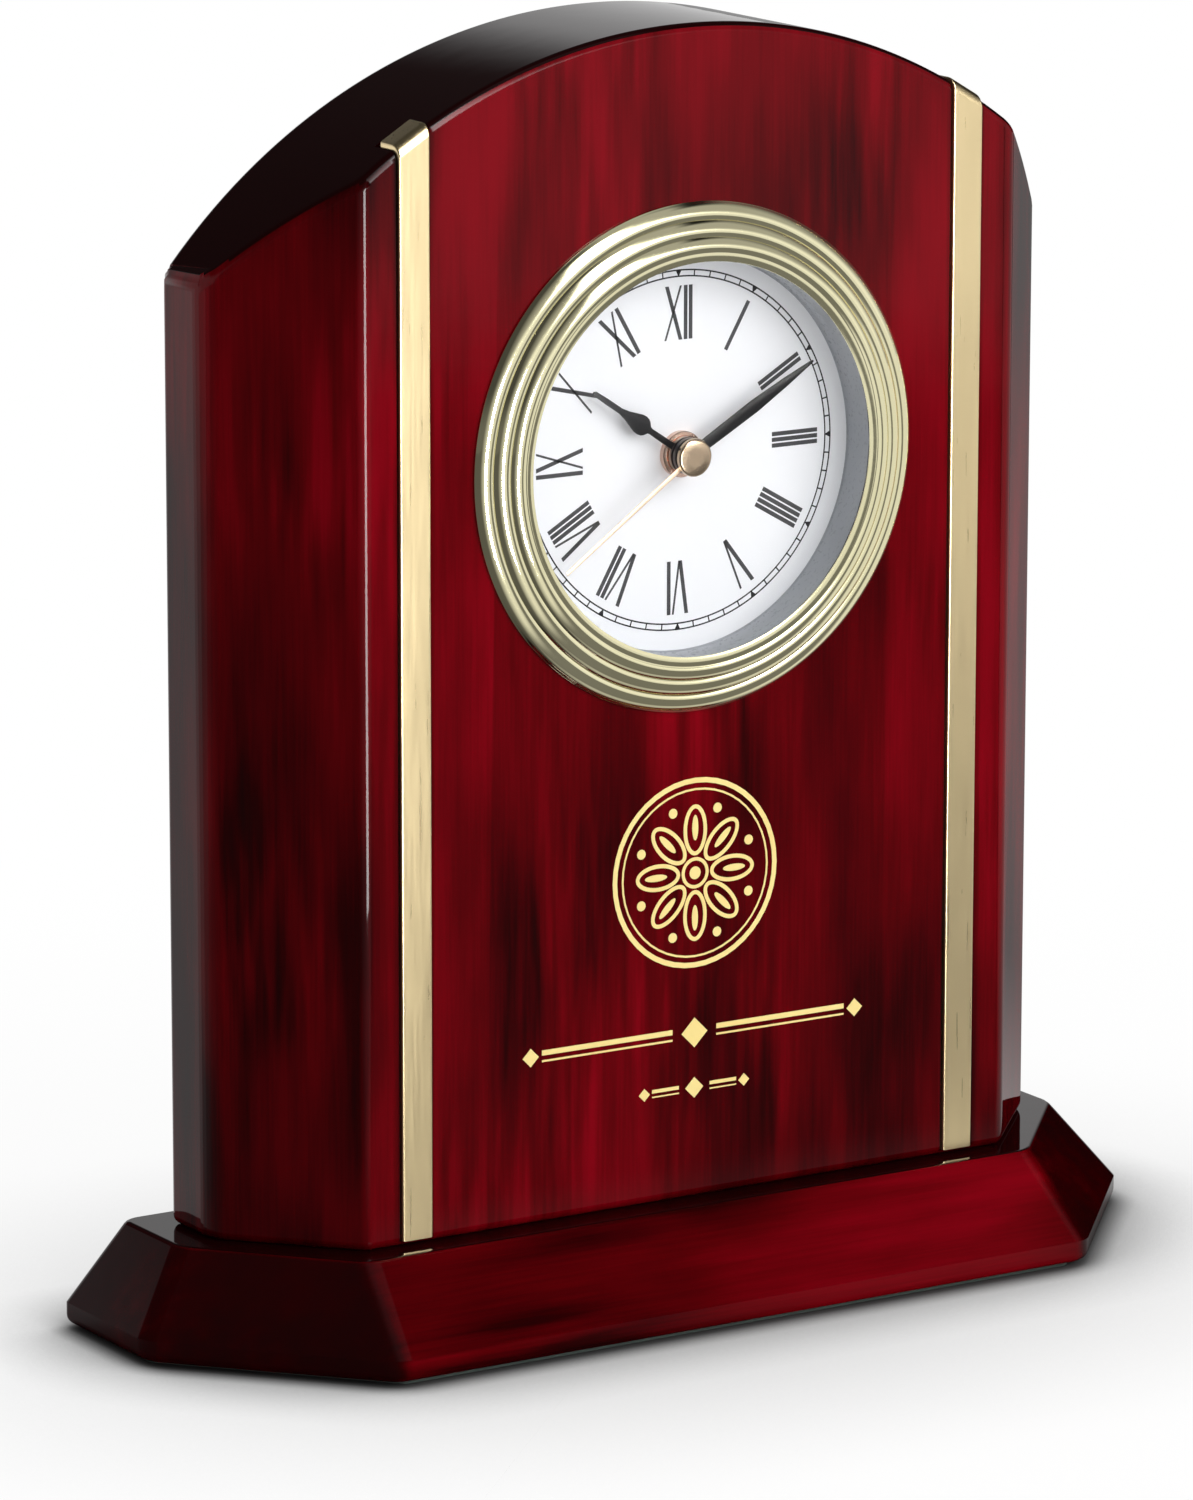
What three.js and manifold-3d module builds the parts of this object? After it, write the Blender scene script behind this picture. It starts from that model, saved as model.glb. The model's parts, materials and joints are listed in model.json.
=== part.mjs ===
// Desk clock: an arched wooden case on a bevelled plinth, with a round quartz clock set in its front.
// Millimetres, +Z up, dial towards -Y, origin under the middle of the plinth.

import * as THREE from "three";
import { mergeVertices } from "three/addons/utils/BufferGeometryUtils.js";
import Module from "manifold-3d";

const wasm = await Module();
wasm.setup();

// Clearances
const FIT_GAP = 0.3; // around a piece that sits in another
const RUN_GAP = 0.3; // around a shaft that turns in a hole
const LAYER_GAP = 0.3; // between a wheel and the plate or wheel beside it
const WELD = 0.5; // how far a feature reaches into the piece that it grows from

// Case body
const BODY_WIDTH = 165;
const BODY_DEPTH = 33.4;
const BODY_HEIGHT = 200.1;
const ARCH_RISE = 39.1; // from the tops of the sides up to the crown
const BODY_CORNER_X = 18.6; // canted front corner, along the front
const BODY_CORNER_Y = 19.8; // the same, along the side
const BODY_EDGE = 1; // rounding of the front, back and bottom edges
const FRONT_ARRIS = 1.6; // rounding where the front meets the canted corners
const SIDE_ARRIS = 3; // rounding where the canted corners meet the sides
const BACK_ARRIS = 1.2; // rounding of the back corners

// Plinth
const FELT_THICKNESS = 0.8;
const FELT_INSET = 2.5;
const PLINTH_HEIGHT = 17.1;
const PLINTH_BAND = 3.9; // upright band below the slope
const PLINTH_EDGE = 1.1; // rounding of the plinth's edges
const MARGIN_FRONT = 4.9; // flat top left in front of the body
const MARGIN_SIDE = 5.9;
const MARGIN_BACK = 6.4;
const SLOPE_FRONT = 14.3; // how far the slope spreads at the front
const SLOPE_SIDE = 10.1;
const SLOPE_BACK = 2.6;
const PLINTH_TOP_CORNER_X = 21.9; // canted corner at the plinth's top
const PLINTH_TOP_CORNER_Y = 24.6;
const PLINTH_FOOT_CORNER_X = 29.7; // canted corner at the plinth's foot
const PLINTH_FOOT_CORNER_Y = 32.9;
const PLINTH_ARRIS = 2; // rounding of the plinth's upright corners

// Wood screws up through the plinth into the body
const SCREW_SPACING = 96;
const SCREW_LENGTH = 34;
const SCREW_SHANK_RADIUS = 1.9;
const SCREW_HEAD_RADIUS = 4;
const SCREW_HEAD_HEIGHT = 3;
const SCREW_SUNK = 1.2; // how deep the head lies above the plinth's underside
const SCREW_TIP = 3;

// Brass strips
const STRIP_WIDTH = 5.8;
const STRIP_MARGIN = 6.7; // wood between the strip and the canted corner
const STRIP_PROUD = 0.6;
const STRIP_LEG = 0.9; // how deep the strip lies in its groove
const STRIP_RETURN = 5.4; // how far it bends back over the arch
const STRIP_LIFT = 1; // its foot stands this far above the plinth
const STRIP_BEVEL = 0.35;
const NOTCH_LENGTH = 6.7; // the groove's run over the arch

// Clock insert, from the sight opening outwards
const CROWN_TO_CLOCK = 72.5;
const SIGHT_RADIUS = 33.2;
const SIGHT_STEP = 0.6; // how far the reflector lies outside the sight edge
const REFLECTOR_WALL = 1.1;
const CUP_WALL = 1.2;
const SLEEVE_WALL = 1.2; // rubber sleeve between the cup and the wood
const SLEEVE_LENGTH = 5;
const SLEEVE_START = 1.6;
const BEZEL_RADIUS = 43;
const BEZEL_RISE = 3.8;
const BEZEL_LIP = 1;
const BEZEL_RIM = 0.7; // height of the bezel's outer edge
const BEZEL_STEPS = 3; // rounded steps between the rim and the sight edge
const BEZEL_CURVE = 0.8; // share of each step that is curved
const LENS_THICKNESS = 1.2;
const LENS_SEAL = 0.4;
const LENS_SEAL_WIDTH = 0.9;
const DIAL_DEPTH = 7;
const DIAL_THICKNESS = 0.6;
const CUP_FLOOR = 1.2;
const BORE_RELIEF = 0.8; // bore behind the cup

// Hands, stacked in front of the dial
const HAND_THICKNESS = 0.4;
const HUB_RADIUS = 3.1;
const HUB_THICKNESS = 1.2;
const HUB_GAP = 0.6;
const HOUR_ANGLE = 304;
const HOUR_LENGTH = 21.8;
const HOUR_STEM = 1; // width of the thin stem
const HOUR_BULB_START = 8.6;
const HOUR_BULB_MIDDLE = 10.4;
const HOUR_BULB_END = 15.4;
const HOUR_BULB_WIDTH = 3.4;
const HOUR_POINT = 0.5;
const MINUTE_ANGLE = 60.4;
const MINUTE_LENGTH = 28.2;
const MINUTE_ROOT = 2;
const MINUTE_MIDDLE = 2.3;
const MINUTE_MIDDLE_AT = 15;
const MINUTE_POINT = 0.4;
const SECOND_ANGLE = 235;
const SECOND_LENGTH = 31;
const SECOND_ROOT = 0.9;
const SECOND_POINT = 0.5;
const SECOND_HUB_RADIUS = 1.6;
const SECOND_THICKNESS = 0.3;
const CAP_RADIUS = 3.25;
const CAP_THICKNESS = 1.1;
const CAP_EDGE = 0.35;

// Arbors and pipes on the hand axis, from the inside out
const SECOND_ARBOR = 0.5;
const MINUTE_PIPE_WALL = 0.5;
const HOUR_PIPE_WALL = 0.5;
const BUSHING_WALL = 0.7;
const BUSHING_FLANGE = 4.2;
const BUSHING_FLANGE_THICKNESS = 0.5;
const NUT_RADIUS = 3.9;
const NUT_THICKNESS = 1.5;
const NUT_SLOT = 1.2;

// Movement case
const CASE_SIZE = 56;
const CASE_CORNER = 3;
const CASE_WALL = 1.2;
const CASE_DEPTH = 16.8; // with its back cover
const COVER_THICKNESS = 1;
const RIB_THICKNESS = 0.8; // wall between the train and the battery
const RIB_END_GAP = 2.3; // room for the contacts past its ends
const BOSS_WALL = 0.6;
const BOSS_LENGTH = 2;
const BAY_GAP = 0.4; // around the battery
const RECESS_MARGIN = 3.2; // room in the wood around the movement
const RECESS_CORNER = 3;

// Battery, an AA cell
const BATTERY_RADIUS = 7.25;
const BATTERY_LENGTH = 49.2;
const BATTERY_NUB_RADIUS = 2.7;
const BATTERY_NUB = 1.3;
const BATTERY_EDGE = 0.6;

// Wheel train
const ARBOR_RADIUS = 0.4;
const WHEEL_FACE = 0.8;
const PINION_OVER = 0.1; // how far a pinion reaches past the wheel that it drives, each side
const TOOTH_COUNTS = {
  rotorPinion: 8,
  stepWheel: 48,
  stepPinion: 8,
  secondWheel: 40,
  secondPinion: 8,
  thirdWheel: 60,
  thirdPinion: 8,
  centreWheel: 64,
  cannonPinion: 10,
  motionWheel: 30,
  motionPinion: 8,
  hourWheel: 32,
  settingPinion: 12,
};
const STEP_MODULE = 0.25;
const TRAIN_MODULE = 0.3;
const MOTION_MODULE = 0.4;
const TOOTH_ADDENDUM = 0.8; // in modules
const TOOTH_DEDENDUM = 1.1;
const TOOTH_TIP_SHARE = 0.2; // half a tooth's width, as a share of half its pitch
const TOOTH_ROOT_SHARE = 0.62;
const STEP_DIRECTION = 50; // degrees from +X, seen from the front
const ROTOR_DIRECTION = 40;
const THIRD_DIRECTION = 150;
const MOTION_DIRECTION = -10;
const CLUTCH_FLANGE = 0.4;
const CLUTCH_SPRING = 0.2;
const CLUTCH_RADIUS = 2.6;
const CLUTCH_GAP = 0.1;
const STUD_RADIUS = 0.55;

// Setting knob
const KNOB_SHAFT = 1.4;
const KNOB_RADIUS = 5;
const KNOB_HEIGHT = 4;
const KNOB_FLUTES = 18;
const KNOB_FLUTE_DEPTH = 0.45;

// Bridge, motor and circuit
const BRIDGE_THICKNESS = 1;
const BRIDGE_TOP = 14.9;
const BRIDGE_CORNER = 0.5;
const ROTOR_RADIUS = 2.6;
const ROTOR_GAP = 0.5;
const STATOR_THICKNESS = 1;
const STATOR_INSET = 0.4; // from the magnet's front face
const STATOR_LEG = 5;
const STATOR_SPAN = 26;
const STATOR_SHOULDER = 14.8;
const STATOR_WAIST = 1.4; // from the shoulders up to the window between the legs
const STATOR_TOP = 23;
const STATOR_FOOT = 5.6;
const STATOR_FOOT_LEFT = 4; // the foot's reach each side of the rotor
const STATOR_FOOT_RIGHT = 4.8;
const STATOR_CHAMFER = 0.9;
const COIL_HEIGHT = 20.1;
const COIL_RADIUS = 3.4;
const COIL_FLANGE = 7.2;
const COIL_FLANGE_THICKNESS = 0.8;
const COIL_FLANGE_CORNER = 1;
const CORE_WIDTH = 2.4;
const CORE_THICKNESS = 0.8;
const BOBBIN_WALL = 0.4;
const BOARD_THICKNESS = 0.8;
const BOARD_WIDTH = 14.3;
const BOARD_HEIGHT = 22.5;
const BOARD_CORNER = 0.5;
const BOARD_GAP = 1; // between the board and the side wall
const BOARD_POST = 1.2;
const BOARD_POST_INSET = 2;
const CRYSTAL_RADIUS = 1;
const CRYSTAL_LENGTH = 6;
const CRYSTAL_LIFT = 0.05; // above the board, on its wires
const CRYSTAL_ACROSS = 4.3; // from the board's left edge
const CRYSTAL_UP = 7.9; // from the board's bottom edge
const CHIP_RADIUS = 2.5;
const CHIP_TOP_RADIUS = 1.75;
const CHIP_HEIGHT = 0.9;
const CHIP_ACROSS = 7.9;
const CHIP_UP = 18;
const CONTACT_THICKNESS = 0.4;
const CONTACT_WIDTH = 5;
const CONTACT_HEIGHT = 8;
const CONTACT_TIP = 1;
const CONTACT_RIBBON = 1.4;
const CONTACT_LAP = 2; // how far a ribbon lies over the board

// Facets
const ARCH_STEPS = 36;
const SMOOTH_SEGMENTS = 60;
const ROUND_SEGMENTS = 32;
const SMALL_SEGMENTS = 20;
const TINY_SEGMENTS = 12;
const ARRIS_STEPS = 3;
const GROOVE_STEPS = 4;
const BEZEL_ARC_STEPS = 3;
const BULB_STEPS = 5;

// Worked out from the sizes above
const bodyHalf = BODY_WIDTH / 2;
const plinthBottom = FELT_THICKNESS;
const plinthTop = plinthBottom + PLINTH_HEIGHT;
const crown = plinthTop + BODY_HEIGHT;
const archRadius = (bodyHalf ** 2 + ARCH_RISE ** 2) / (2 * ARCH_RISE);
const plinthDepth = SLOPE_FRONT + MARGIN_FRONT + BODY_DEPTH + MARGIN_BACK + SLOPE_BACK;
const bodyFront = SLOPE_FRONT + MARGIN_FRONT - plinthDepth / 2;
const bodyBack = bodyFront + BODY_DEPTH;
const stripOuter = bodyHalf - BODY_CORNER_X - STRIP_MARGIN;
const stripInner = stripOuter - STRIP_WIDTH;
const clockHeight = crown - CROWN_TO_CLOCK;

const lensFront = BEZEL_LIP - BEZEL_RISE;
const lensBack = lensFront + LENS_THICKNESS;
const reflectorFront = lensBack + LENS_SEAL;
const reflectorInner = SIGHT_RADIUS + SIGHT_STEP;
const reflectorOuter = reflectorInner + REFLECTOR_WALL;
const cupInner = reflectorOuter + 2 * FIT_GAP;
const cupOuter = cupInner + CUP_WALL;
const sleeveOuter = cupOuter + FIT_GAP + SLEEVE_WALL;
const boreRadius = sleeveOuter + FIT_GAP;
const dialBack = DIAL_DEPTH + DIAL_THICKNESS;
const caseFront = dialBack + CUP_FLOOR;
const boreDepth = caseFront + BORE_RELIEF;

const minutePipeInner = SECOND_ARBOR + RUN_GAP;
const minutePipeOuter = minutePipeInner + MINUTE_PIPE_WALL;
const hourPipeInner = minutePipeOuter + RUN_GAP;
const hourPipeOuter = hourPipeInner + HOUR_PIPE_WALL;
const bushingInner = hourPipeOuter + RUN_GAP;
const bushingOuter = bushingInner + BUSHING_WALL;
const bushingHole = bushingOuter + FIT_GAP;
const nutFront = DIAL_DEPTH - NUT_THICKNESS;
const bushingFront = nutFront - FIT_GAP;
const hourHubBack = bushingFront;
const hourHubFront = hourHubBack - HUB_THICKNESS;
const minuteHubBack = hourHubFront - HUB_GAP;
const minuteHubFront = minuteHubBack - HUB_THICKNESS;
const secondBack = minuteHubFront - HUB_GAP;
const capBack = secondBack - SECOND_THICKNESS;

const plateInner = caseFront + CASE_WALL;
const coverFront = caseFront + CASE_DEPTH - COVER_THICKNESS;
const caseBack = caseFront + CASE_DEPTH;
const caseHalf = CASE_SIZE / 2;
const bayHalf = caseHalf - CASE_WALL;
const batteryHeight = -bayHalf + BAY_GAP + BATTERY_RADIUS;
const batteryDepth = plateInner + BAY_GAP + BATTERY_RADIUS;
const ribBottom = batteryHeight + BATTERY_RADIUS + BAY_GAP;
const ribTop = ribBottom + RIB_THICKNESS;

const hourWheelAt = plateInner + BUSHING_FLANGE_THICKNESS + LAYER_GAP;
const cannonAt = hourWheelAt + WHEEL_FACE + LAYER_GAP;
const cannonEnd = cannonAt + WHEEL_FACE + 2 * PINION_OVER;
const motionWheelAt = cannonAt + PINION_OVER;
const clutchSpringAt = cannonEnd + CLUTCH_FLANGE + CLUTCH_GAP;
const centreWheelAt = clutchSpringAt + CLUTCH_SPRING + CLUTCH_GAP;
const bridgeAt = centreWheelAt + WHEEL_FACE + 2 * LAYER_GAP;
const bridgeBack = bridgeAt + BRIDGE_THICKNESS;
const secondPinionAt = bridgeBack + LAYER_GAP;
const thirdWheelAt = secondPinionAt + PINION_OVER;
const stepPinionAt = thirdWheelAt + WHEEL_FACE + PINION_OVER + LAYER_GAP;
const secondWheelAt = stepPinionAt + PINION_OVER;
const rotorPinionAt = secondWheelAt + WHEEL_FACE + PINION_OVER + LAYER_GAP;
const stepWheelAt = rotorPinionAt + PINION_OVER;
const bossFront = coverFront - BOSS_LENGTH;
const arborBack = coverFront - LAYER_GAP;
const bridgeBottom = ribTop + FIT_GAP;
const rotorMagnetAt = bridgeBack + LAYER_GAP;
const statorAt = rotorMagnetAt + STATOR_INSET;
const coreAt = statorAt + STATOR_THICKNESS;
const coilDepth = coreAt + CORE_THICKNESS / 2;
const boardAt = secondWheelAt + WHEEL_FACE + LAYER_GAP;
const boardBack = boardAt + BOARD_THICKNESS;
const ribbonAt = boardBack + FIT_GAP;

// Whole teeth on every wheel
const TEETH = Object.fromEntries(
  Object.entries(TOOTH_COUNTS).map(([wheel, count]) => [wheel, Math.round(count)]),
);

// Places of the arbors beside the hand axis
const pitch = (module, wheel, pinion) => (module * (wheel + pinion)) / 2;
const stepDistance = pitch(TRAIN_MODULE, TEETH.secondWheel, TEETH.stepPinion);
const rotorDistance = pitch(STEP_MODULE, TEETH.stepWheel, TEETH.rotorPinion);
const thirdDistance = pitch(TRAIN_MODULE, TEETH.thirdWheel, TEETH.secondPinion);
const motionDistance = pitch(MOTION_MODULE, TEETH.motionWheel, TEETH.cannonPinion);
const settingDistance = pitch(MOTION_MODULE, TEETH.motionWheel, TEETH.settingPinion);
const centreModule = (2 * thirdDistance) / (TEETH.centreWheel + TEETH.thirdPinion);
const hourModule = (2 * motionDistance) / (TEETH.hourWheel + TEETH.motionPinion);
const handAxis = { x: 0, z: 0 };
const stepAxis = away(handAxis, stepDistance, STEP_DIRECTION);
const rotorAxis = away(stepAxis, rotorDistance, ROTOR_DIRECTION);
const thirdAxis = away(handAxis, thirdDistance, THIRD_DIRECTION);
const motionAxis = away(handAxis, motionDistance, MOTION_DIRECTION);
const settingAxis = away(motionAxis, settingDistance, MOTION_DIRECTION);

// Finishes
const finish = (color, roughness, metalness) => ({ color, roughness, metalness });
const LACQUER = finish(0x6d0a18, 0.12, 0);
const FELT = finish(0x1c2a20, 0.95, 0);
const BRASS = finish(0xd9c48c, 0.3, 1);
const POLISHED_BRASS = finish(0xd8cfa2, 0.12, 1);
const SCREW_STEEL = finish(0x8c8c86, 0.4, 1);
const CLEAR_GLASS = finish(0xeef4f4, 0.02, 0);
const RUBBER = finish(0x171717, 0.8, 0);
const PALE_GREY = finish(0xb9bcc0, 0.45, 0);
const DIAL_WHITE = finish(0xf4f4f4, 0.5, 0);
const CUP_GREY = finish(0x5c5f62, 0.5, 0);
const CASE_BLACK = finish(0x151515, 0.5, 0);
const COPPER = finish(0xb98a6c, 0.35, 1);
const HAND_BLACK = finish(0x161616, 0.45, 0);
const NYLON = finish(0xe8e6dc, 0.5, 0);
const SILICON_STEEL = finish(0x9a9a9c, 0.35, 1);
const COIL_COPPER = finish(0xa8521f, 0.35, 1);
const BOARD_GREEN = finish(0x2b6b3c, 0.5, 0);
const CELL_BLUE = finish(0x2f4d7d, 0.35, 0.2);

// A point at a distance and angle from an axis, in the dial's plane
function away(axis, distance, degrees) {
  const angle = THREE.MathUtils.degToRad(degrees);
  return { x: axis.x + distance * Math.cos(angle), z: axis.z + distance * Math.sin(angle) };
}

// Height of the arch above a place across the body
function archAt(x) {
  return crown - archRadius + Math.sqrt(archRadius ** 2 - x ** 2);
}

// Welded triangle list of a geometry, facing outwards and without slivers on the axis
function triangleMesh(geometry) {
  geometry.deleteAttribute("normal");
  geometry.deleteAttribute("uv");
  const welded = mergeVertices(geometry, 1e-3);
  const points = welded.getAttribute("position").array;
  const corners = [];
  let volume = 0;
  for (let i = 0; i < welded.index.count; i += 3) {
    const triangle = [0, 1, 2].map((step) => welded.index.getX(i + step));
    if (new Set(triangle).size < 3) continue;
    const [a, b, c] = triangle.map((at) => new THREE.Vector3().fromArray(points, 3 * at));
    volume += a.dot(b.cross(c));
    corners.push(triangle);
  }
  const facing = volume > 0 ? corners : corners.map((triangle) => triangle.reverse());
  return { points: new Float32Array(points), triangles: new Uint32Array(facing.flat()) };
}

// Solid of a closed geometry
function solid(geometry) {
  const { points, triangles } = triangleMesh(geometry);
  return new wasm.Manifold(new wasm.Mesh({ numProp: 3, vertProperties: points, triVerts: triangles }));
}

// Named mesh of a solid
function part(name, shape, look) {
  const mesh = shape.getMesh();
  const geometry = new THREE.BufferGeometry();
  geometry.setAttribute("position", new THREE.BufferAttribute(mesh.vertProperties, mesh.numProp));
  geometry.setIndex(new THREE.BufferAttribute(mesh.triVerts, 1));
  geometry.computeVertexNormals();
  const result = new THREE.Mesh(geometry, new THREE.MeshStandardMaterial(look));
  result.name = name;
  return result;
}

const joined = (...shapes) => shapes.reduce((whole, shape) => whole.add(shape));
const cutBy = (shape, ...tools) => tools.reduce((rest, tool) => rest.subtract(tool), shape);

// Points of a circle round an axis square to the dial
function circle(radius, segments, centre = handAxis) {
  return Array.from({ length: segments }, (_, i) => {
    const angle = (2 * Math.PI * i) / segments;
    return new THREE.Vector2(centre.x + radius * Math.cos(angle), centre.z + radius * Math.sin(angle));
  });
}

// Closed outline with each corner rounded by its own radius
function roundedOutline(corners, steps = ARRIS_STEPS) {
  const points = [];
  corners.forEach(([x, y, radius], i) => {
    const here = new THREE.Vector2(x, y);
    const before = new THREE.Vector2(...corners.at(i - 1).slice(0, 2));
    const after = new THREE.Vector2(...corners[(i + 1) % corners.length].slice(0, 2));
    const back = before.sub(here).normalize();
    const forth = after.sub(here).normalize();
    const half = Math.acos(THREE.MathUtils.clamp(back.dot(forth), -1, 1)) / 2;
    const start = here.clone().addScaledVector(back, radius / Math.tan(half));
    const end = here.clone().addScaledVector(forth, radius / Math.tan(half));
    const curve = new THREE.QuadraticBezierCurve(start, here, end);
    points.push(...(radius > 0 ? curve.getPoints(steps) : [here]));
  });
  return points;
}

// Rectangle with equal round corners
function roundedBox(left, right, bottom, top, radius) {
  return roundedOutline([
    [left, bottom, radius],
    [right, bottom, radius],
    [right, top, radius],
    [left, top, radius],
  ]);
}

// Upright prism on an outline in plan
function upright(outline, bottom, top) {
  const shape = new THREE.Shape(outline);
  const geometry = new THREE.ExtrudeGeometry(shape, { depth: top - bottom, bevelEnabled: false });
  return solid(geometry.translate(0, 0, bottom));
}

// Plate parallel to the dial, between two depths, with its edges bevelled where asked
function plate(outline, front, back, bevel = 0, holes = []) {
  const shape = new THREE.Shape(outline);
  shape.holes = holes.map((hole) => new THREE.Path(hole));
  const geometry = new THREE.ExtrudeGeometry(shape, {
    depth: back - front - 2 * bevel,
    bevelEnabled: bevel > 0,
    bevelThickness: bevel,
    bevelSize: bevel,
    bevelOffset: -bevel,
    bevelSegments: ARRIS_STEPS - 1,
  });
  return solid(geometry.translate(0, 0, bevel).rotateX(Math.PI / 2).translate(0, back, 0));
}

// Solid turned about an axis square to the dial, from pairs of radius and depth
function turned(profile, segments = ROUND_SEGMENTS, centre = handAxis) {
  const points = profile.map(([radius, depth]) => new THREE.Vector2(radius, depth));
  const closed = profile[0][0] === 0 ? points : [...points, points[0]];
  return solid(new THREE.LatheGeometry(closed, segments).translate(centre.x, 0, centre.z));
}

function disc(radius, front, back, segments, centre) {
  return turned([[0, front], [radius, front], [radius, back], [0, back]], segments, centre);
}

function ring(inner, outer, front, back, segments, centre) {
  return turned([[inner, front], [outer, front], [outer, back], [inner, back]], segments, centre);
}

// Cylinder along Z
function post(radius, bottom, top, x, y, segments = SMALL_SEGMENTS) {
  return disc(radius, bottom, top, segments).rotate([90, 0, 0]).translate([x, y, 0]);
}

// Block between two corners
function block(low, high) {
  const size = high.map((value, i) => value - low[i]);
  const middle = high.map((value, i) => (value + low[i]) / 2);
  return solid(new THREE.BoxGeometry(...size).translate(...middle));
}

// Body outline in plan, its front corners canted
function bodyPlan() {
  const frontHalf = bodyHalf - BODY_CORNER_X;
  const cantEnd = bodyFront + BODY_CORNER_Y;
  return roundedOutline([
    [-bodyHalf, bodyBack, BACK_ARRIS],
    [-bodyHalf, cantEnd, SIDE_ARRIS],
    [-frontHalf, bodyFront, FRONT_ARRIS],
    [frontHalf, bodyFront, FRONT_ARRIS],
    [bodyHalf, cantEnd, SIDE_ARRIS],
    [bodyHalf, bodyBack, BACK_ARRIS],
  ]);
}

// The same outline drawn in evenly, for a rounded foot
function inset(outline, distance) {
  const depthMiddle = (bodyFront + bodyBack) / 2;
  const scaleX = 1 - distance / bodyHalf;
  const scaleY = 1 - (2 * distance) / BODY_DEPTH;
  return outline.map((p) => new THREE.Vector2(p.x * scaleX, depthMiddle + (p.y - depthMiddle) * scaleY));
}

// Closed skin over a stack of outlines that have as many points each
function stacked(layers) {
  const count = layers[0].outline.length;
  const positions = layers.flatMap(({ outline, z }) => outline.flatMap((p) => [p.x, p.y, z]));
  const index = [];
  for (let layer = 0; layer + 1 < layers.length; layer += 1) {
    for (let i = 0; i < count; i += 1) {
      const a = layer * count + i;
      const b = layer * count + ((i + 1) % count);
      index.push(a, b, b + count, a, b + count, a + count);
    }
  }
  const last = (layers.length - 1) * count;
  for (let i = 1; i + 1 < count; i += 1) index.push(0, i + 1, i, last, last + i, last + i + 1);
  const geometry = new THREE.BufferGeometry();
  geometry.setAttribute("position", new THREE.BufferAttribute(new Float32Array(positions), 3));
  geometry.setIndex(index);
  return solid(geometry);
}

// Arch seen from the front, wider than the body and reaching below it
function archPlate() {
  const reach = bodyHalf + BODY_EDGE;
  const points = [];
  for (let i = 0; i <= ARCH_STEPS; i += 1) {
    const x = reach * (1 - (2 * i) / ARCH_STEPS);
    points.push(new THREE.Vector2(x, archAt(Math.min(Math.abs(x), archRadius))));
  }
  const foot = plinthTop - 2 * BODY_EDGE;
  const outline = [new THREE.Vector2(-reach, foot), new THREE.Vector2(reach, foot), ...points];
  return plate(outline, bodyFront, bodyBack, BODY_EDGE);
}

// Part of the space above the arch, for one strip's width, from an offset of the arch line
function aboveArch(side, inner, outer, offset, front, back) {
  const top = crown + ARCH_RISE;
  const line = [];
  for (let i = 0; i <= GROOVE_STEPS; i += 1) {
    const x = inner + ((outer - inner) * i) / GROOVE_STEPS;
    line.push(new THREE.Vector2(side * x, archAt(x) + offset));
  }
  const lid = [new THREE.Vector2(side * outer, top), new THREE.Vector2(side * inner, top)];
  return plate([...line, ...lid], front, back);
}

// Groove for one strip, down the front and over the arch
function stripGroove(side) {
  const inner = stripInner - FIT_GAP;
  const outer = stripOuter + FIT_GAP;
  const depth = STRIP_LEG + FIT_GAP;
  const [low, high] = side > 0 ? [inner, outer] : [-outer, -inner];
  const front = block(
    [low, bodyFront - STRIP_PROUD, plinthTop - WELD],
    [high, bodyFront + depth, crown + WELD],
  );
  return front.add(aboveArch(side, inner, outer, -depth, bodyFront - STRIP_PROUD, bodyFront + NOTCH_LENGTH));
}

// Wooden case body with the bore for the clock, the pocket behind it and the grooves
function caseBody() {
  const plan = bodyPlan();
  const column = stacked([
    { outline: inset(plan, BODY_EDGE), z: plinthTop },
    { outline: plan, z: plinthTop + BODY_EDGE },
    { outline: plan, z: crown + WELD },
  ]);
  const half = caseHalf + RECESS_MARGIN;
  const bore = disc(boreRadius, -WELD, boreDepth, SMOOTH_SEGMENTS);
  const opening = roundedBox(-half, half, -half, half, RECESS_CORNER);
  const recess = plate(opening, boreDepth - WELD, BODY_DEPTH + WELD);
  const pocket = bore.add(recess).translate([0, bodyFront, clockHeight]);
  const pilots = screwPlaces.map((x) => post(
    SCREW_SHANK_RADIUS + FIT_GAP,
    plinthTop - WELD,
    screwBottom + SCREW_LENGTH + FIT_GAP,
    x,
    screwDepth,
  ));
  return cutBy(archPlate().intersect(column), pocket, stripGroove(1), stripGroove(-1), ...pilots);
}

// Brass strip with its top bent back over the arch
function brassStrip(side) {
  const [low, high] = side > 0 ? [stripInner, stripOuter] : [-stripOuter, -stripInner];
  const front = bodyFront - STRIP_PROUD;
  const back = bodyFront + STRIP_RETURN;
  const outline = [
    [low + STRIP_BEVEL, front],
    [high - STRIP_BEVEL, front],
    [high, front + STRIP_BEVEL],
    [high, back],
    [low, back],
    [low, front + STRIP_BEVEL],
  ].map(([x, y]) => new THREE.Vector2(x, y));
  const bar = upright(outline, plinthTop + STRIP_LIFT, crown + ARCH_RISE / 2);
  const behind = cutBy(
    block([low - WELD, bodyFront + STRIP_LEG, plinthTop], [high + WELD, back + WELD, crown + ARCH_RISE]),
    aboveArch(side, stripInner - WELD, stripOuter + WELD, -STRIP_LEG, bodyFront, back + 2 * WELD),
  );
  const over = aboveArch(side, stripInner - WELD, stripOuter + WELD, STRIP_PROUD, front - WELD, back + WELD);
  return cutBy(bar, over, behind);
}

// Screw places under the body
const screwDepth = (bodyFront + bodyBack) / 2;
const screwBottom = plinthBottom + SCREW_SUNK;
const screwPlaces = [-SCREW_SPACING / 2, SCREW_SPACING / 2];

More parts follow.
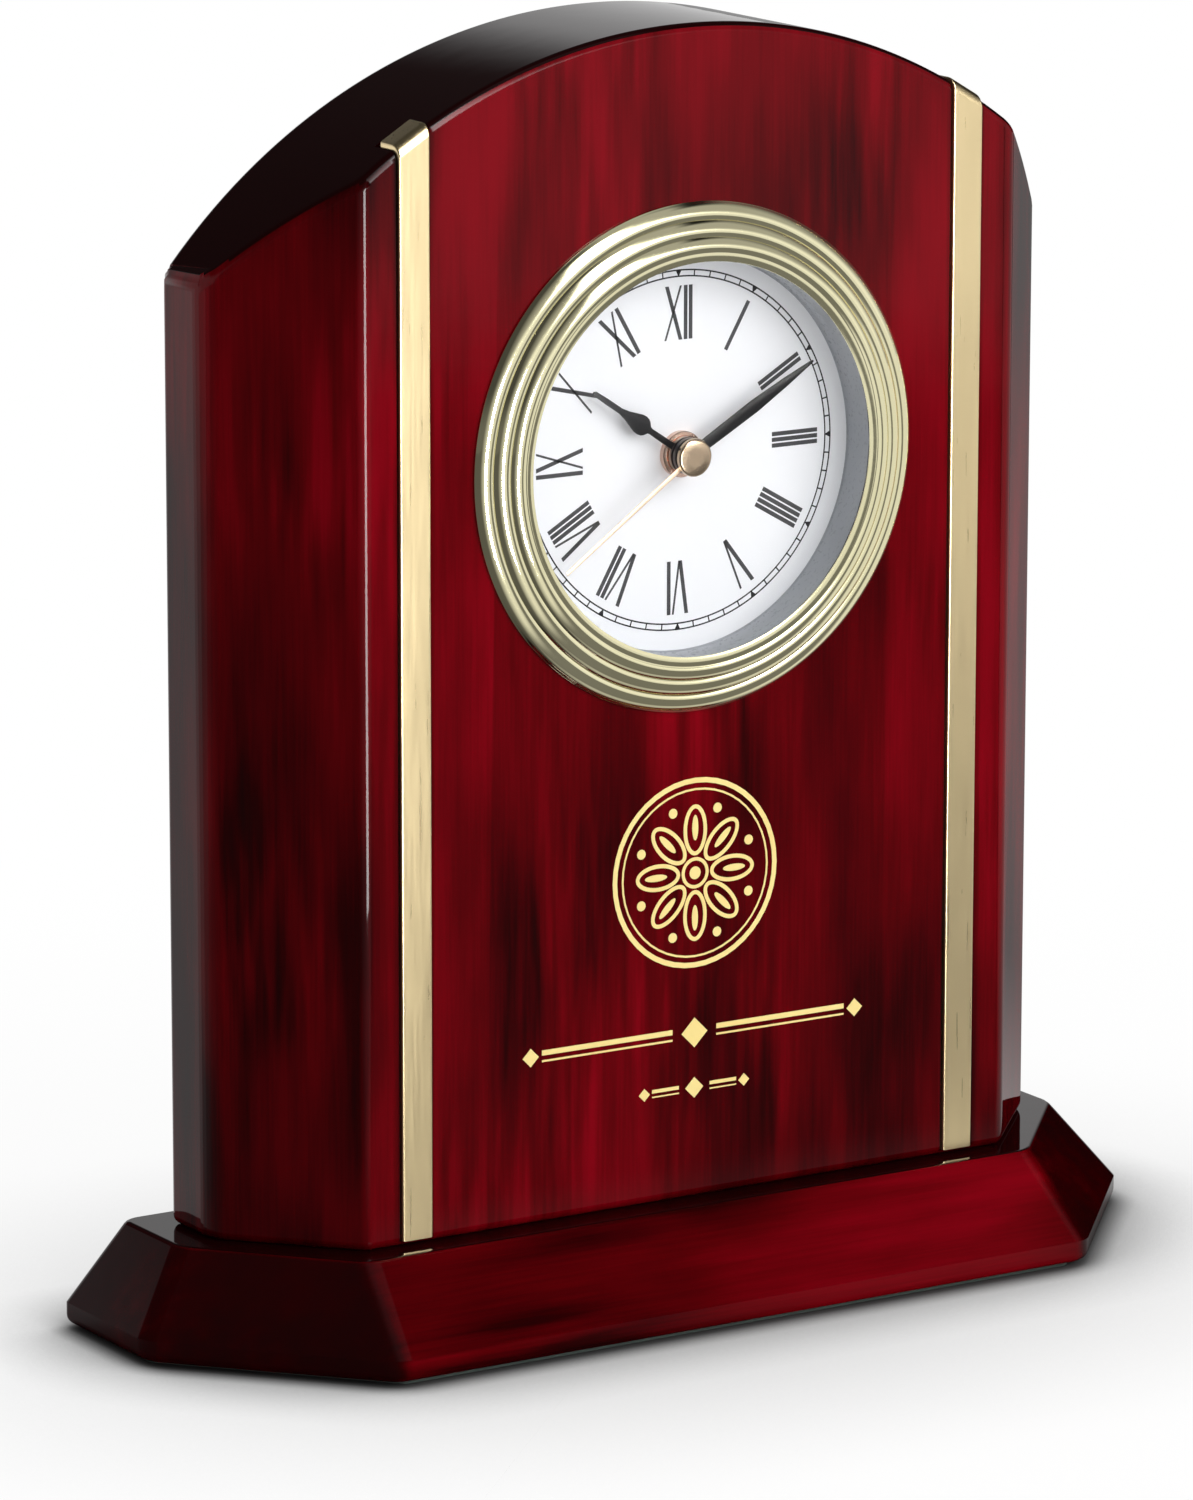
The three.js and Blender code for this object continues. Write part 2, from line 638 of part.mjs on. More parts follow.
// Plinth outline between its foot and its top
function plinthOutline(share, drawnIn = 0) {
  const mix = (foot, top) => THREE.MathUtils.lerp(foot, top, share) - drawnIn;
  const half = bodyHalf + MARGIN_SIDE;
  const right = mix(half + SLOPE_SIDE, half);
  const front = bodyFront - MARGIN_FRONT;
  const back = bodyBack + MARGIN_BACK;
  const low = -mix(SLOPE_FRONT - front, -front);
  const high = mix(back + SLOPE_BACK, back);
  const cornerX = THREE.MathUtils.lerp(PLINTH_FOOT_CORNER_X, PLINTH_TOP_CORNER_X, share);
  const cornerY = THREE.MathUtils.lerp(PLINTH_FOOT_CORNER_Y, PLINTH_TOP_CORNER_Y, share);
  return roundedOutline([
    [-right, high, PLINTH_EDGE],
    [-right, low + cornerY, PLINTH_ARRIS],
    [cornerX - right, low, PLINTH_ARRIS],
    [right - cornerX, low, PLINTH_ARRIS],
    [right, low + cornerY, PLINTH_ARRIS],
    [right, high, PLINTH_EDGE],
  ]);
}

// Bevelled plinth with countersunk screw holes
function basePlinth() {
  const bandTop = plinthBottom + PLINTH_BAND;
  const slope = plinthTop - bandTop;
  const edge = PLINTH_EDGE / 2;
  const column = stacked([
    { outline: plinthOutline(0, edge), z: plinthBottom },
    { outline: plinthOutline(0), z: plinthBottom + edge },
    { outline: plinthOutline(0), z: bandTop - edge },
    { outline: plinthOutline(edge / slope), z: bandTop + edge },
    { outline: plinthOutline(1 - edge / slope), z: plinthTop - edge },
    { outline: plinthOutline(1, edge), z: plinthTop },
  ]);
  const holes = screwPlaces.flatMap((x) => [
    post(SCREW_SHANK_RADIUS + FIT_GAP, plinthBottom - WELD, plinthTop + WELD, x, screwDepth),
    post(SCREW_HEAD_RADIUS + FIT_GAP, plinthBottom - WELD, screwBottom + SCREW_HEAD_HEIGHT, x, screwDepth),
  ]);
  return cutBy(column, ...holes);
}

// Wood screw with a countersunk head and a pointed tip
function baseScrew(x) {
  const top = screwBottom + SCREW_LENGTH;
  const profile = [
    [0, screwBottom],
    [SCREW_HEAD_RADIUS, screwBottom],
    [SCREW_SHANK_RADIUS, screwBottom + SCREW_HEAD_HEIGHT - FIT_GAP],
    [SCREW_SHANK_RADIUS, top - SCREW_TIP],
    [0, top],
  ];
  return turned(profile, SMALL_SEGMENTS).rotate([90, 0, 0]).translate([x, screwDepth, 0]);
}

// Polished bezel of three rounded steps that rise towards the glass
function bezelRing() {
  const width = (BEZEL_RADIUS - SIGHT_RADIUS) / BEZEL_STEPS;
  const rise = (BEZEL_RISE - BEZEL_RIM) / BEZEL_STEPS;
  const profile = [[BEZEL_RADIUS, 0], [BEZEL_RADIUS, -BEZEL_RIM]];
  for (let step = 0; step < BEZEL_STEPS; step += 1) {
    const outer = BEZEL_RADIUS - step * width;
    const base = -BEZEL_RIM - step * rise;
    for (let i = 1; i <= BEZEL_ARC_STEPS; i += 1) {
      const angle = ((Math.PI / 2) * i) / BEZEL_ARC_STEPS;
      const along = BEZEL_CURVE * width * (1 - Math.cos(angle));
      profile.push([outer - along, base - rise * Math.sin(angle)]);
    }
    profile.push([outer - width, base - rise]);
  }
  const seat = reflectorOuter + FIT_GAP;
  profile.push([SIGHT_RADIUS, lensFront], [seat, lensFront], [seat, 0]);
  return turned(profile, SMOOTH_SEGMENTS);
}

// Cup behind the bezel, which carries the dial and the movement
function insertCup() {
  const profile = [
    [bushingHole, dialBack],
    [cupInner, dialBack],
    [cupInner, 0],
    [cupOuter, 0],
    [cupOuter, caseFront],
    [bushingHole, caseFront],
  ];
  return turned(profile);
}

// Round nut with two wrench slots, on the bushing's thread
function mountingNut() {
  const reach = NUT_RADIUS + WELD;
  const slot = block([-reach, nutFront - WELD, -NUT_SLOT / 2], [reach, nutFront + WELD, NUT_SLOT / 2]);
  return ring(bushingHole, NUT_RADIUS, nutFront, DIAL_DEPTH, ROUND_SEGMENTS).subtract(slot);
}

// Threaded bushing that the hands' pipes pass through
function threadedBushing() {
  return joined(
    ring(bushingInner, bushingOuter, bushingFront, plateInner + WELD / 2, SMALL_SEGMENTS),
    ring(bushingInner, BUSHING_FLANGE, plateInner, plateInner + BUSHING_FLANGE_THICKNESS, SMALL_SEGMENTS),
  );
}

// Blade of a hand as pairs of distance from the axis and width, turned to its time
function blade(pairs, angle, front, back) {
  const right = pairs.map(([along, width]) => new THREE.Vector2(width / 2, along));
  const left = pairs.map(([along, width]) => new THREE.Vector2(-width / 2, along)).reverse();
  return plate([...right, ...left], front, back).rotate([0, angle, 0]);
}

function hourHand() {
  const eyeRadius = hourPipeOuter + FIT_GAP;
  const bulb = [];
  for (let i = 0; i <= BULB_STEPS; i += 1) {
    const angle = (Math.PI / 2) * (i / BULB_STEPS);
    const along = HOUR_BULB_START + (HOUR_BULB_MIDDLE - HOUR_BULB_START) * (1 - Math.cos(angle));
    bulb.push([along, HOUR_STEM + (HOUR_BULB_WIDTH - HOUR_STEM) * Math.sin(angle)]);
  }
  const pairs = [
    [eyeRadius, HOUR_STEM],
    ...bulb,
    [HOUR_BULB_END, HOUR_STEM],
    [HOUR_LENGTH, HOUR_POINT],
  ];
  const front = (hourHubFront + hourHubBack - HAND_THICKNESS) / 2;
  const hub = ring(eyeRadius, HUB_RADIUS, hourHubFront, hourHubBack, ROUND_SEGMENTS);
  const eye = disc(eyeRadius, hourHubFront - WELD, hourHubBack + WELD, ROUND_SEGMENTS);
  return joined(hub, blade(pairs, HOUR_ANGLE, front, front + HAND_THICKNESS)).subtract(eye);
}

function minuteHand() {
  const pairs = [
    [minutePipeOuter, MINUTE_ROOT],
    [MINUTE_MIDDLE_AT, MINUTE_MIDDLE],
    [MINUTE_LENGTH, MINUTE_POINT],
  ];
  const front = (minuteHubFront + minuteHubBack - HAND_THICKNESS) / 2;
  const hub = ring(minutePipeOuter + FIT_GAP, HUB_RADIUS, minuteHubFront, minuteHubBack, ROUND_SEGMENTS);
  const eye = disc(minutePipeOuter + FIT_GAP, minuteHubFront - WELD, minuteHubBack + WELD, ROUND_SEGMENTS);
  return joined(hub, blade(pairs, MINUTE_ANGLE, front, front + HAND_THICKNESS)).subtract(eye);
}

function secondHand() {
  const pairs = [[0, SECOND_ROOT], [SECOND_LENGTH, SECOND_POINT]];
  return joined(
    disc(SECOND_HUB_RADIUS, capBack, secondBack, ROUND_SEGMENTS),
    blade(pairs, SECOND_ANGLE, capBack, secondBack),
  );
}

function secondHandCap() {
  const front = capBack - CAP_THICKNESS;
  const profile = [
    [0, front],
    [CAP_RADIUS - CAP_EDGE, front],
    [CAP_RADIUS, front + CAP_EDGE],
    [CAP_RADIUS, capBack],
    [0, capBack],
  ];
  return turned(profile);
}

// Toothed outline with straight-sided teeth
function gearOutline(teeth, module, phase, axis) {
  const radius = (module * teeth) / 2;
  const tip = radius + TOOTH_ADDENDUM * module;
  const root = radius - TOOTH_DEDENDUM * module;
  const pitchAngle = Math.PI / teeth;
  const corners = [
    [root, -TOOTH_ROOT_SHARE],
    [tip, -TOOTH_TIP_SHARE],
    [tip, TOOTH_TIP_SHARE],
    [root, TOOTH_ROOT_SHARE],
  ];
  const points = [];
  for (let tooth = 0; tooth < teeth; tooth += 1) {
    for (const [reach, share] of corners) {
      const angle = phase + pitchAngle * (2 * tooth + share);
      points.push(new THREE.Vector2(axis.x + reach * Math.cos(angle), axis.z + reach * Math.sin(angle)));
    }
  }
  return points;
}

// Toothed wheel, with a bore where one is given
function gear(teeth, module, phase, axis, front, back, bore = 0) {
  const holes = bore > 0 ? [circle(bore, TINY_SEGMENTS, axis)] : [];
  return plate(gearOutline(teeth, module, phase, axis), front, back, 0, holes);
}

// Turn of a wheel that puts its gaps against another wheel's teeth, across the line between them
function meshed(phase, teeth, otherTeeth, degrees) {
  const direction = THREE.MathUtils.degToRad(degrees);
  return direction + Math.PI + Math.PI / otherTeeth - ((phase - direction) * teeth) / otherTeeth;
}

const stepPinionPhase = meshed(0, TEETH.secondWheel, TEETH.stepPinion, STEP_DIRECTION);
const rotorPinionPhase = meshed(0, TEETH.stepWheel, TEETH.rotorPinion, ROTOR_DIRECTION);
const thirdWheelPhase = meshed(0, TEETH.secondPinion, TEETH.thirdWheel, THIRD_DIRECTION);
const centreWheelPhase = meshed(0, TEETH.thirdPinion, TEETH.centreWheel, THIRD_DIRECTION + 180);
const motionWheelPhase = meshed(0, TEETH.cannonPinion, TEETH.motionWheel, MOTION_DIRECTION);
const hourWheelPhase = meshed(0, TEETH.motionPinion, TEETH.hourWheel, MOTION_DIRECTION + 180);
const settingPhase = meshed(motionWheelPhase, TEETH.motionWheel, TEETH.settingPinion, MOTION_DIRECTION);

// Pinion as long as the wheel that it meshes with, and a little more
function pinion(teeth, module, phase, axis, wheelAt, bore = 0) {
  return gear(teeth, module, phase, axis, wheelAt - PINION_OVER, wheelAt + WHEEL_FACE + PINION_OVER, bore);
}

function rotorPinion() {
  return joined(
    pinion(TEETH.rotorPinion, STEP_MODULE, rotorPinionPhase, rotorAxis, stepWheelAt),
    disc(ARBOR_RADIUS, rotorPinionAt, arborBack, TINY_SEGMENTS, rotorAxis),
  );
}

function rotorMagnet() {
  return joined(
    disc(ROTOR_RADIUS, rotorMagnetAt, rotorPinionAt, SMALL_SEGMENTS, rotorAxis),
    disc(ARBOR_RADIUS, bridgeAt, rotorMagnetAt + WELD, TINY_SEGMENTS, rotorAxis),
  );
}

function stepWheel() {
  return joined(
    gear(TEETH.stepWheel, STEP_MODULE, 0, stepAxis, stepWheelAt, stepWheelAt + WHEEL_FACE),
    pinion(TEETH.stepPinion, TRAIN_MODULE, stepPinionPhase, stepAxis, secondWheelAt),
    disc(ARBOR_RADIUS, bridgeAt, arborBack, TINY_SEGMENTS, stepAxis),
  );
}

function secondWheel() {
  return joined(
    gear(TEETH.secondWheel, TRAIN_MODULE, 0, handAxis, secondWheelAt, secondWheelAt + WHEEL_FACE),
    pinion(TEETH.secondPinion, TRAIN_MODULE, 0, handAxis, thirdWheelAt),
    disc(SECOND_ARBOR, secondBack, arborBack, TINY_SEGMENTS),
  );
}

function thirdWheel() {
  const back = thirdWheelAt + WHEEL_FACE;
  return joined(
    gear(TEETH.thirdWheel, TRAIN_MODULE, thirdWheelPhase, thirdAxis, thirdWheelAt, back),
    pinion(TEETH.thirdPinion, centreModule, 0, thirdAxis, centreWheelAt),
    disc(ARBOR_RADIUS, plateInner + LAYER_GAP, arborBack, TINY_SEGMENTS, thirdAxis),
  );
}

function centreWheel() {
  const bore = minutePipeOuter + RUN_GAP;
  const back = centreWheelAt + WHEEL_FACE;
  return gear(TEETH.centreWheel, centreModule, centreWheelPhase, handAxis, centreWheelAt, back, bore);
}

// Minute pipe: cannon pinion, pipe to the minute hand and clutch flange in one
function minutePipe() {
  const pipeEnd = centreWheelAt + WHEEL_FACE;
  return joined(
    ring(minutePipeInner, minutePipeOuter, minuteHubFront, pipeEnd, TINY_SEGMENTS),
    gear(TEETH.cannonPinion, MOTION_MODULE, 0, handAxis, cannonAt, cannonEnd, minutePipeInner),
    ring(minutePipeInner, CLUTCH_RADIUS, cannonEnd, cannonEnd + CLUTCH_FLANGE, TINY_SEGMENTS),
  );
}

function hourWheel() {
  const back = hourWheelAt + WHEEL_FACE;
  return joined(
    ring(hourPipeInner, hourPipeOuter, hourHubFront, back, TINY_SEGMENTS),
    gear(TEETH.hourWheel, hourModule, hourWheelPhase, handAxis, hourWheelAt, back, hourPipeInner),
  );
}

function motionWheel() {
  const bore = STUD_RADIUS + RUN_GAP;
  const pinionFront = hourWheelAt - PINION_OVER;
  const back = motionWheelAt + WHEEL_FACE;
  return joined(
    gear(TEETH.motionWheel, MOTION_MODULE, motionWheelPhase, motionAxis, motionWheelAt, back, bore),
    gear(TEETH.motionPinion, hourModule, 0, motionAxis, pinionFront, motionWheelAt + PINION_OVER, bore),
  );
}

// Setting knob with its shaft, its pinion and a fluted grip outside the cover
function settingKnob() {
  const gripFront = caseBack + FIT_GAP;
  const flutes = [];
  for (let i = 0; i < KNOB_FLUTES * 2; i += 1) {
    const angle = (Math.PI * i) / KNOB_FLUTES;
    const radius = KNOB_RADIUS - (i % 2) * KNOB_FLUTE_DEPTH;
    const x = settingAxis.x + radius * Math.cos(angle);
    flutes.push(new THREE.Vector2(x, settingAxis.z + radius * Math.sin(angle)));
  }
  return joined(
    disc(KNOB_SHAFT, plateInner + LAYER_GAP, gripFront + WELD, SMALL_SEGMENTS, settingAxis),
    pinion(TEETH.settingPinion, MOTION_MODULE, settingPhase, settingAxis, motionWheelAt),
    plate(flutes, gripFront, gripFront + KNOB_HEIGHT),
  );
}

// Front half of the movement case, a tray with its pivots and the wall beside the battery
function movementFrontCase() {
  const outer = roundedBox(-caseHalf, caseHalf, -caseHalf, caseHalf, CASE_CORNER);
  const inner = roundedBox(-bayHalf, bayHalf, -bayHalf, bayHalf, CASE_CORNER - CASE_WALL);
  const tray = plate(outer, caseFront, coverFront).subtract(plate(inner, plateInner, coverFront + WELD));
  const ribHalf = bayHalf - RIB_END_GAP;
  const rib = block([-ribHalf, caseFront, ribBottom], [ribHalf, coverFront, ribTop]);
  const pivot = plateInner - WELD;
  const thirdBoss = disc(ARBOR_RADIUS + RUN_GAP + BOSS_WALL, pivot, cannonEnd, TINY_SEGMENTS, thirdAxis);
  const knobBossRadius = KNOB_SHAFT + RUN_GAP + BOSS_WALL;
  const knobBoss = disc(knobBossRadius, pivot, cannonAt - LAYER_GAP, SMALL_SEGMENTS, settingAxis);
  const stud = disc(STUD_RADIUS, pivot, motionWheelAt + WHEEL_FACE + PINION_OVER, TINY_SEGMENTS, motionAxis);
  return cutBy(
    joined(tray, rib, thirdBoss, knobBoss, stud),
    disc(ARBOR_RADIUS + RUN_GAP, plateInner, cannonEnd + WELD, TINY_SEGMENTS, thirdAxis),
    disc(KNOB_SHAFT + RUN_GAP, plateInner, cannonAt, SMALL_SEGMENTS, settingAxis),
    disc(bushingHole, caseFront - WELD, plateInner + WELD, SMALL_SEGMENTS),
  );
}

// Back cover with its pivots, the knob's hole and the opening that the battery slides out of
function movementBackCover() {
  const outer = roundedBox(-caseHalf, caseHalf, -caseHalf, caseHalf, CASE_CORNER);
  const slotHalf = BATTERY_LENGTH / 2 + BATTERY_NUB + BAY_GAP;
  const slotLow = batteryHeight - BATTERY_RADIUS - BAY_GAP + RUN_GAP / 2;
  const slot = block([-slotHalf, coverFront - WELD, slotLow], [slotHalf, caseBack + WELD, ribBottom]);
  const arbors = [
    { axis: handAxis, radius: SECOND_ARBOR },
    { axis: stepAxis, radius: ARBOR_RADIUS },
    { axis: rotorAxis, radius: ARBOR_RADIUS },
    { axis: thirdAxis, radius: ARBOR_RADIUS },
  ];
  const bosses = arbors.map(({ axis, radius }) => disc(
    radius + RUN_GAP + BOSS_WALL,
    bossFront,
    coverFront + WELD,
    TINY_SEGMENTS,
    axis,
  ));
  const bores = arbors.map(({ axis, radius }) => disc(
    radius + RUN_GAP,
    bossFront - WELD,
    coverFront,
    TINY_SEGMENTS,
    axis,
  ));
  const knobHole = disc(
    KNOB_SHAFT + RUN_GAP,
    coverFront - WELD,
    caseBack + WELD,
    SMALL_SEGMENTS,
    settingAxis,
  );
  return cutBy(joined(plate(outer, coverFront, caseBack), ...bosses), slot, knobHole, ...bores);
}

// Plate between the motion work and the train, with the posts that carry the circuit board
function trainBridge() {
  const half = bayHalf - FIT_GAP;
  const holes = [
    circle(SECOND_ARBOR + RUN_GAP, TINY_SEGMENTS, handAxis),
    circle(ARBOR_RADIUS + RUN_GAP, TINY_SEGMENTS, stepAxis),
    circle(ARBOR_RADIUS + RUN_GAP, TINY_SEGMENTS, rotorAxis),
    circle(ARBOR_RADIUS + RUN_GAP, TINY_SEGMENTS, thirdAxis),
    circle(KNOB_SHAFT + RUN_GAP, SMALL_SEGMENTS, settingAxis),
  ];
  const outline = roundedBox(-half, half, bridgeBottom, BRIDGE_TOP, BRIDGE_CORNER);
  const posts = boardPosts.map((axis) => disc(BOARD_POST, bridgeBack - WELD, boardAt, TINY_SEGMENTS, axis));
  return joined(plate(outline, bridgeAt, bridgeBack, 0, holes), ...posts);
}

// Stator plate with the rotor's hole and two legs up to the coil
function statorPlate() {
  const left = rotorAxis.x - STATOR_SPAN / 2;
  const right = rotorAxis.x + STATOR_SPAN / 2;
  const window = STATOR_SHOULDER + STATOR_WAIST;
  const outline = [
    [rotorAxis.x - STATOR_FOOT_LEFT + STATOR_CHAMFER, STATOR_FOOT],
    [rotorAxis.x + STATOR_FOOT_RIGHT, STATOR_FOOT],
    [right, STATOR_SHOULDER],
    [right, STATOR_TOP],
    [right - STATOR_LEG, STATOR_TOP],
    [right - STATOR_LEG, window],
    [left + STATOR_LEG, window],
    [left + STATOR_LEG, STATOR_TOP],
    [left, STATOR_TOP],
    [left, STATOR_SHOULDER],
    [rotorAxis.x - STATOR_FOOT_LEFT, STATOR_FOOT + STATOR_CHAMFER],
  ].map(([x, z]) => new THREE.Vector2(x, z));
  const hole = circle(ROTOR_RADIUS + ROTOR_GAP, SMALL_SEGMENTS, rotorAxis);
  return plate(outline, statorAt, statorAt + STATOR_THICKNESS, 0, [hole]);
}

const coilHalf = STATOR_SPAN / 2 - STATOR_LEG - FIT_GAP;
const coreHalfDiagonal = Math.hypot(CORE_WIDTH, CORE_THICKNESS) / 2;
const bobbinInner = coreHalfDiagonal + FIT_GAP;
const bobbinOuter = bobbinInner + BOBBIN_WALL;

// Turns a piece made round the depth axis onto the coil's own axis, which runs across
function ontoCoil(shape) {
  return shape.rotate([0, 0, -90]).translate([rotorAxis.x, coilDepth, COIL_HEIGHT]);
}

function coilCore() {
  return block(
    [rotorAxis.x - STATOR_SPAN / 2, coreAt, COIL_HEIGHT - CORE_WIDTH / 2],
    [rotorAxis.x + STATOR_SPAN / 2, coreAt + CORE_THICKNESS, COIL_HEIGHT + CORE_WIDTH / 2],
  );
}

function coilBobbin() {
  const half = COIL_FLANGE / 2;
  const tube = ring(bobbinInner, bobbinOuter, -coilHalf, coilHalf, SMALL_SEGMENTS);
  const hole = [circle(bobbinInner, SMALL_SEGMENTS)];
  const flanges = [-coilHalf, coilHalf - COIL_FLANGE_THICKNESS].map((at) => plate(
    roundedBox(-half, half, -half, half, COIL_FLANGE_CORNER),
    at,
    at + COIL_FLANGE_THICKNESS,
    0,
    hole,
  ));
  return ontoCoil(joined(tube, ...flanges));
}

function coilWinding() {
  const half = coilHalf - COIL_FLANGE_THICKNESS - FIT_GAP / 2;
  return ontoCoil(ring(bobbinOuter + FIT_GAP / 2, COIL_RADIUS, -half, half, SMALL_SEGMENTS));
}

// Circuit board beside the train, held on two posts
const boardLeft = -bayHalf + BOARD_GAP;
const boardRight = boardLeft + BOARD_WIDTH;
const boardBottom = ribTop + 2 * FIT_GAP + CONTACT_RIBBON / 2;
const boardTop = boardBottom + BOARD_HEIGHT;
const boardPosts = [
  { x: boardLeft + BOARD_POST_INSET, z: boardBottom + CONTACT_RIBBON + BOARD_POST },
  { x: boardLeft + BOARD_POST_INSET, z: boardTop - BOARD_POST_INSET },
];

function circuitBoard() {
  return plate(roundedBox(boardLeft, boardRight, boardBottom, boardTop, BOARD_CORNER), boardAt, boardBack);
}

function quartzCrystal() {
  const lying = disc(CRYSTAL_RADIUS, 0, CRYSTAL_LENGTH, TINY_SEGMENTS).rotate([90, 0, 0]);
  const depth = boardBack + CRYSTAL_RADIUS + CRYSTAL_LIFT;
  return lying.translate([boardLeft + CRYSTAL_ACROSS, depth, boardBottom + CRYSTAL_UP]);
}

function controlChip() {
  const axis = { x: boardLeft + CHIP_ACROSS, z: boardBottom + CHIP_UP };
  const back = boardBack + CHIP_HEIGHT;
  const profile = [[0, boardBack], [CHIP_RADIUS, boardBack], [CHIP_TOP_RADIUS, back], [0, back]];
  return turned(profile, SMALL_SEGMENTS, axis);
}

// Contact strips: a blade against the battery's end, and a ribbon to the circuit board
const contactLow = batteryHeight - CONTACT_HEIGHT / 2;
const contactTop = boardBottom + CONTACT_RIBBON;
const contactFace = bayHalf - FIT_GAP - CONTACT_THICKNESS;
const contactFront = bridgeBack + FIT_GAP;

function contactPositive() {
  const bladeShape = block(
    [contactFace, contactFront, contactLow],
    [contactFace + CONTACT_THICKNESS, ribbonAt + CONTACT_THICKNESS, contactTop],
  );
  const ribbon = block(
    [boardRight - CONTACT_LAP, ribbonAt, contactTop - CONTACT_RIBBON],
    [contactFace + CONTACT_THICKNESS, ribbonAt + CONTACT_THICKNESS, contactTop],
  );
  return joined(bladeShape, ribbon);
}

function contactNegative() {
  const bladeShape = block(
    [-contactFace - CONTACT_THICKNESS, contactFront, contactLow],
    [-contactFace, ribbonAt + CONTACT_THICKNESS, contactTop],
  );
  const ribbon = block(
    [-contactFace - CONTACT_THICKNESS, ribbonAt, contactTop - CONTACT_RIBBON],
    [boardLeft + CONTACT_LAP, ribbonAt + CONTACT_THICKNESS, contactTop],
  );
  const reach = contactFace - batteryEnd - FIT_GAP;
  const root = -CONTACT_THICKNESS / 2;
  const bump = turned([[0, root], [CONTACT_WIDTH / 2, root], [CONTACT_TIP, reach], [0, reach]], TINY_SEGMENTS)
    .rotate([0, 0, -90])
    .translate([-contactFace, batteryDepth, batteryHeight]);
  return joined(bladeShape, ribbon, bump);
}

// Battery lying across the bay, its nub against the positive blade
const batteryNubEnd = contactFace - FIT_GAP;
const batteryEnd = BATTERY_LENGTH + BATTERY_NUB - batteryNubEnd;

function battery() {
  const profile = [
    [0, -batteryEnd],
    [BATTERY_RADIUS - BATTERY_EDGE, -batteryEnd],
    [BATTERY_RADIUS, BATTERY_EDGE - batteryEnd],
    [BATTERY_RADIUS, BATTERY_LENGTH - BATTERY_EDGE - batteryEnd],
    [BATTERY_RADIUS - BATTERY_EDGE, BATTERY_LENGTH - batteryEnd],
    [BATTERY_NUB_RADIUS, BATTERY_LENGTH - batteryEnd],
    [BATTERY_NUB_RADIUS, batteryNubEnd],
    [0, batteryNubEnd],
  ];
  return turned(profile).rotate([0, 0, -90]).translate([0, batteryDepth, batteryHeight]);
}

// Spring washer that presses the centre wheel on the minute pipe
function clutchSpring() {
  const inner = minutePipeOuter + RUN_GAP;
  return ring(inner, CLUTCH_RADIUS, clutchSpringAt, clutchSpringAt + CLUTCH_SPRING, TINY_SEGMENTS);
}

function lensSeal() {
  return ring(reflectorOuter - LENS_SEAL_WIDTH, reflectorOuter, lensBack, reflectorFront);
}

// Upright wall between the lens and the dial
function reflectorRing() {
  return ring(reflectorInner, reflectorOuter, reflectorFront, DIAL_DEPTH, SMOOTH_SEGMENTS);
}

function dialPlate() {
  return ring(bushingHole, reflectorOuter + FIT_GAP, DIAL_DEPTH, dialBack, SMOOTH_SEGMENTS);
}

// Rubber sleeve that holds the cup in its bore
function rubberSleeve() {
  return ring(cupOuter + FIT_GAP, sleeveOuter, SLEEVE_START, SLEEVE_START + SLEEVE_LENGTH);
}

// Clock insert and movement, with the hand axis in the body's front plane as their origin
function clockInsert() {
  const clock = new THREE.Group();
  clock.position.set(0, bodyFront, clockHeight);
  clock.add(
    part("bezel_ring", bezelRing(), POLISHED_BRASS),
    part("lens", disc(reflectorOuter, lensFront, lensBack, SMOOTH_SEGMENTS), CLEAR_GLASS),
    part("lens_seal", lensSeal(), RUBBER),
    part("reflector_ring", reflectorRing(), PALE_GREY),
    part("dial_plate", dialPlate(), DIAL_WHITE),
    part("insert_cup", insertCup(), CUP_GREY),
    part("rubber_sleeve", rubberSleeve(), RUBBER),
    part("mounting_nut", mountingNut(), COPPER),
    part("threaded_bushing", threadedBushing(), BRASS),
    part("hour_hand", hourHand(), HAND_BLACK),
    part("minute_hand", minuteHand(), HAND_BLACK),
    part("second_hand", secondHand(), BRASS),
    part("second_hand_cap", secondHandCap(), POLISHED_BRASS),
    part("movement_front_case", movementFrontCase(), CASE_BLACK),
    part("movement_back_cover", movementBackCover(), CASE_BLACK),
    part("train_bridge", trainBridge(), NYLON),
    part("rotor_magnet", rotorMagnet(), SILICON_STEEL),
    part("rotor_pinion", rotorPinion(), NYLON),
    part("step_wheel", stepWheel(), NYLON),
    part("second_wheel", secondWheel(), NYLON),
    part("third_wheel", thirdWheel(), NYLON),
    part("centre_wheel", centreWheel(), NYLON),
    part("clutch_spring", clutchSpring(), SILICON_STEEL),
    part("minute_pipe", minutePipe(), NYLON),
    part("hour_wheel", hourWheel(), NYLON),
    part("motion_wheel", motionWheel(), NYLON),
    part("setting_knob", settingKnob(), NYLON),
    part("stator_plate", statorPlate(), SILICON_STEEL),
    part("coil_core", coilCore(), SILICON_STEEL),
    part("coil_bobbin", coilBobbin(), NYLON),
    part("coil_winding", coilWinding(), COIL_COPPER),
    part("circuit_board", circuitBoard(), BOARD_GREEN),
    part("quartz_crystal", quartzCrystal(), SILICON_STEEL),
    part("control_chip", controlChip(), CASE_BLACK),
    part("contact_positive", contactPositive(), SILICON_STEEL),
    part("contact_negative", contactNegative(), SILICON_STEEL),
    part("battery", battery(), CELL_BLUE),
  );
  return clock;
}

const clockModel = new THREE.Group();
clockModel.add(
  part("base_felt", upright(plinthOutline(0, FELT_INSET), 0, FELT_THICKNESS), FELT),
  part("base_plinth", basePlinth(), LACQUER),
  part("base_screw_left", baseScrew(screwPlaces[0]), SCREW_STEEL),
  part("base_screw_right", baseScrew(screwPlaces[1]), SCREW_STEEL),
  part("case_body", caseBody(), LACQUER),
  part("brass_strip_left", brassStrip(-1), BRASS),
  part("brass_strip_right", brassStrip(1), BRASS),
  clockInsert(),
);

export default clockModel;
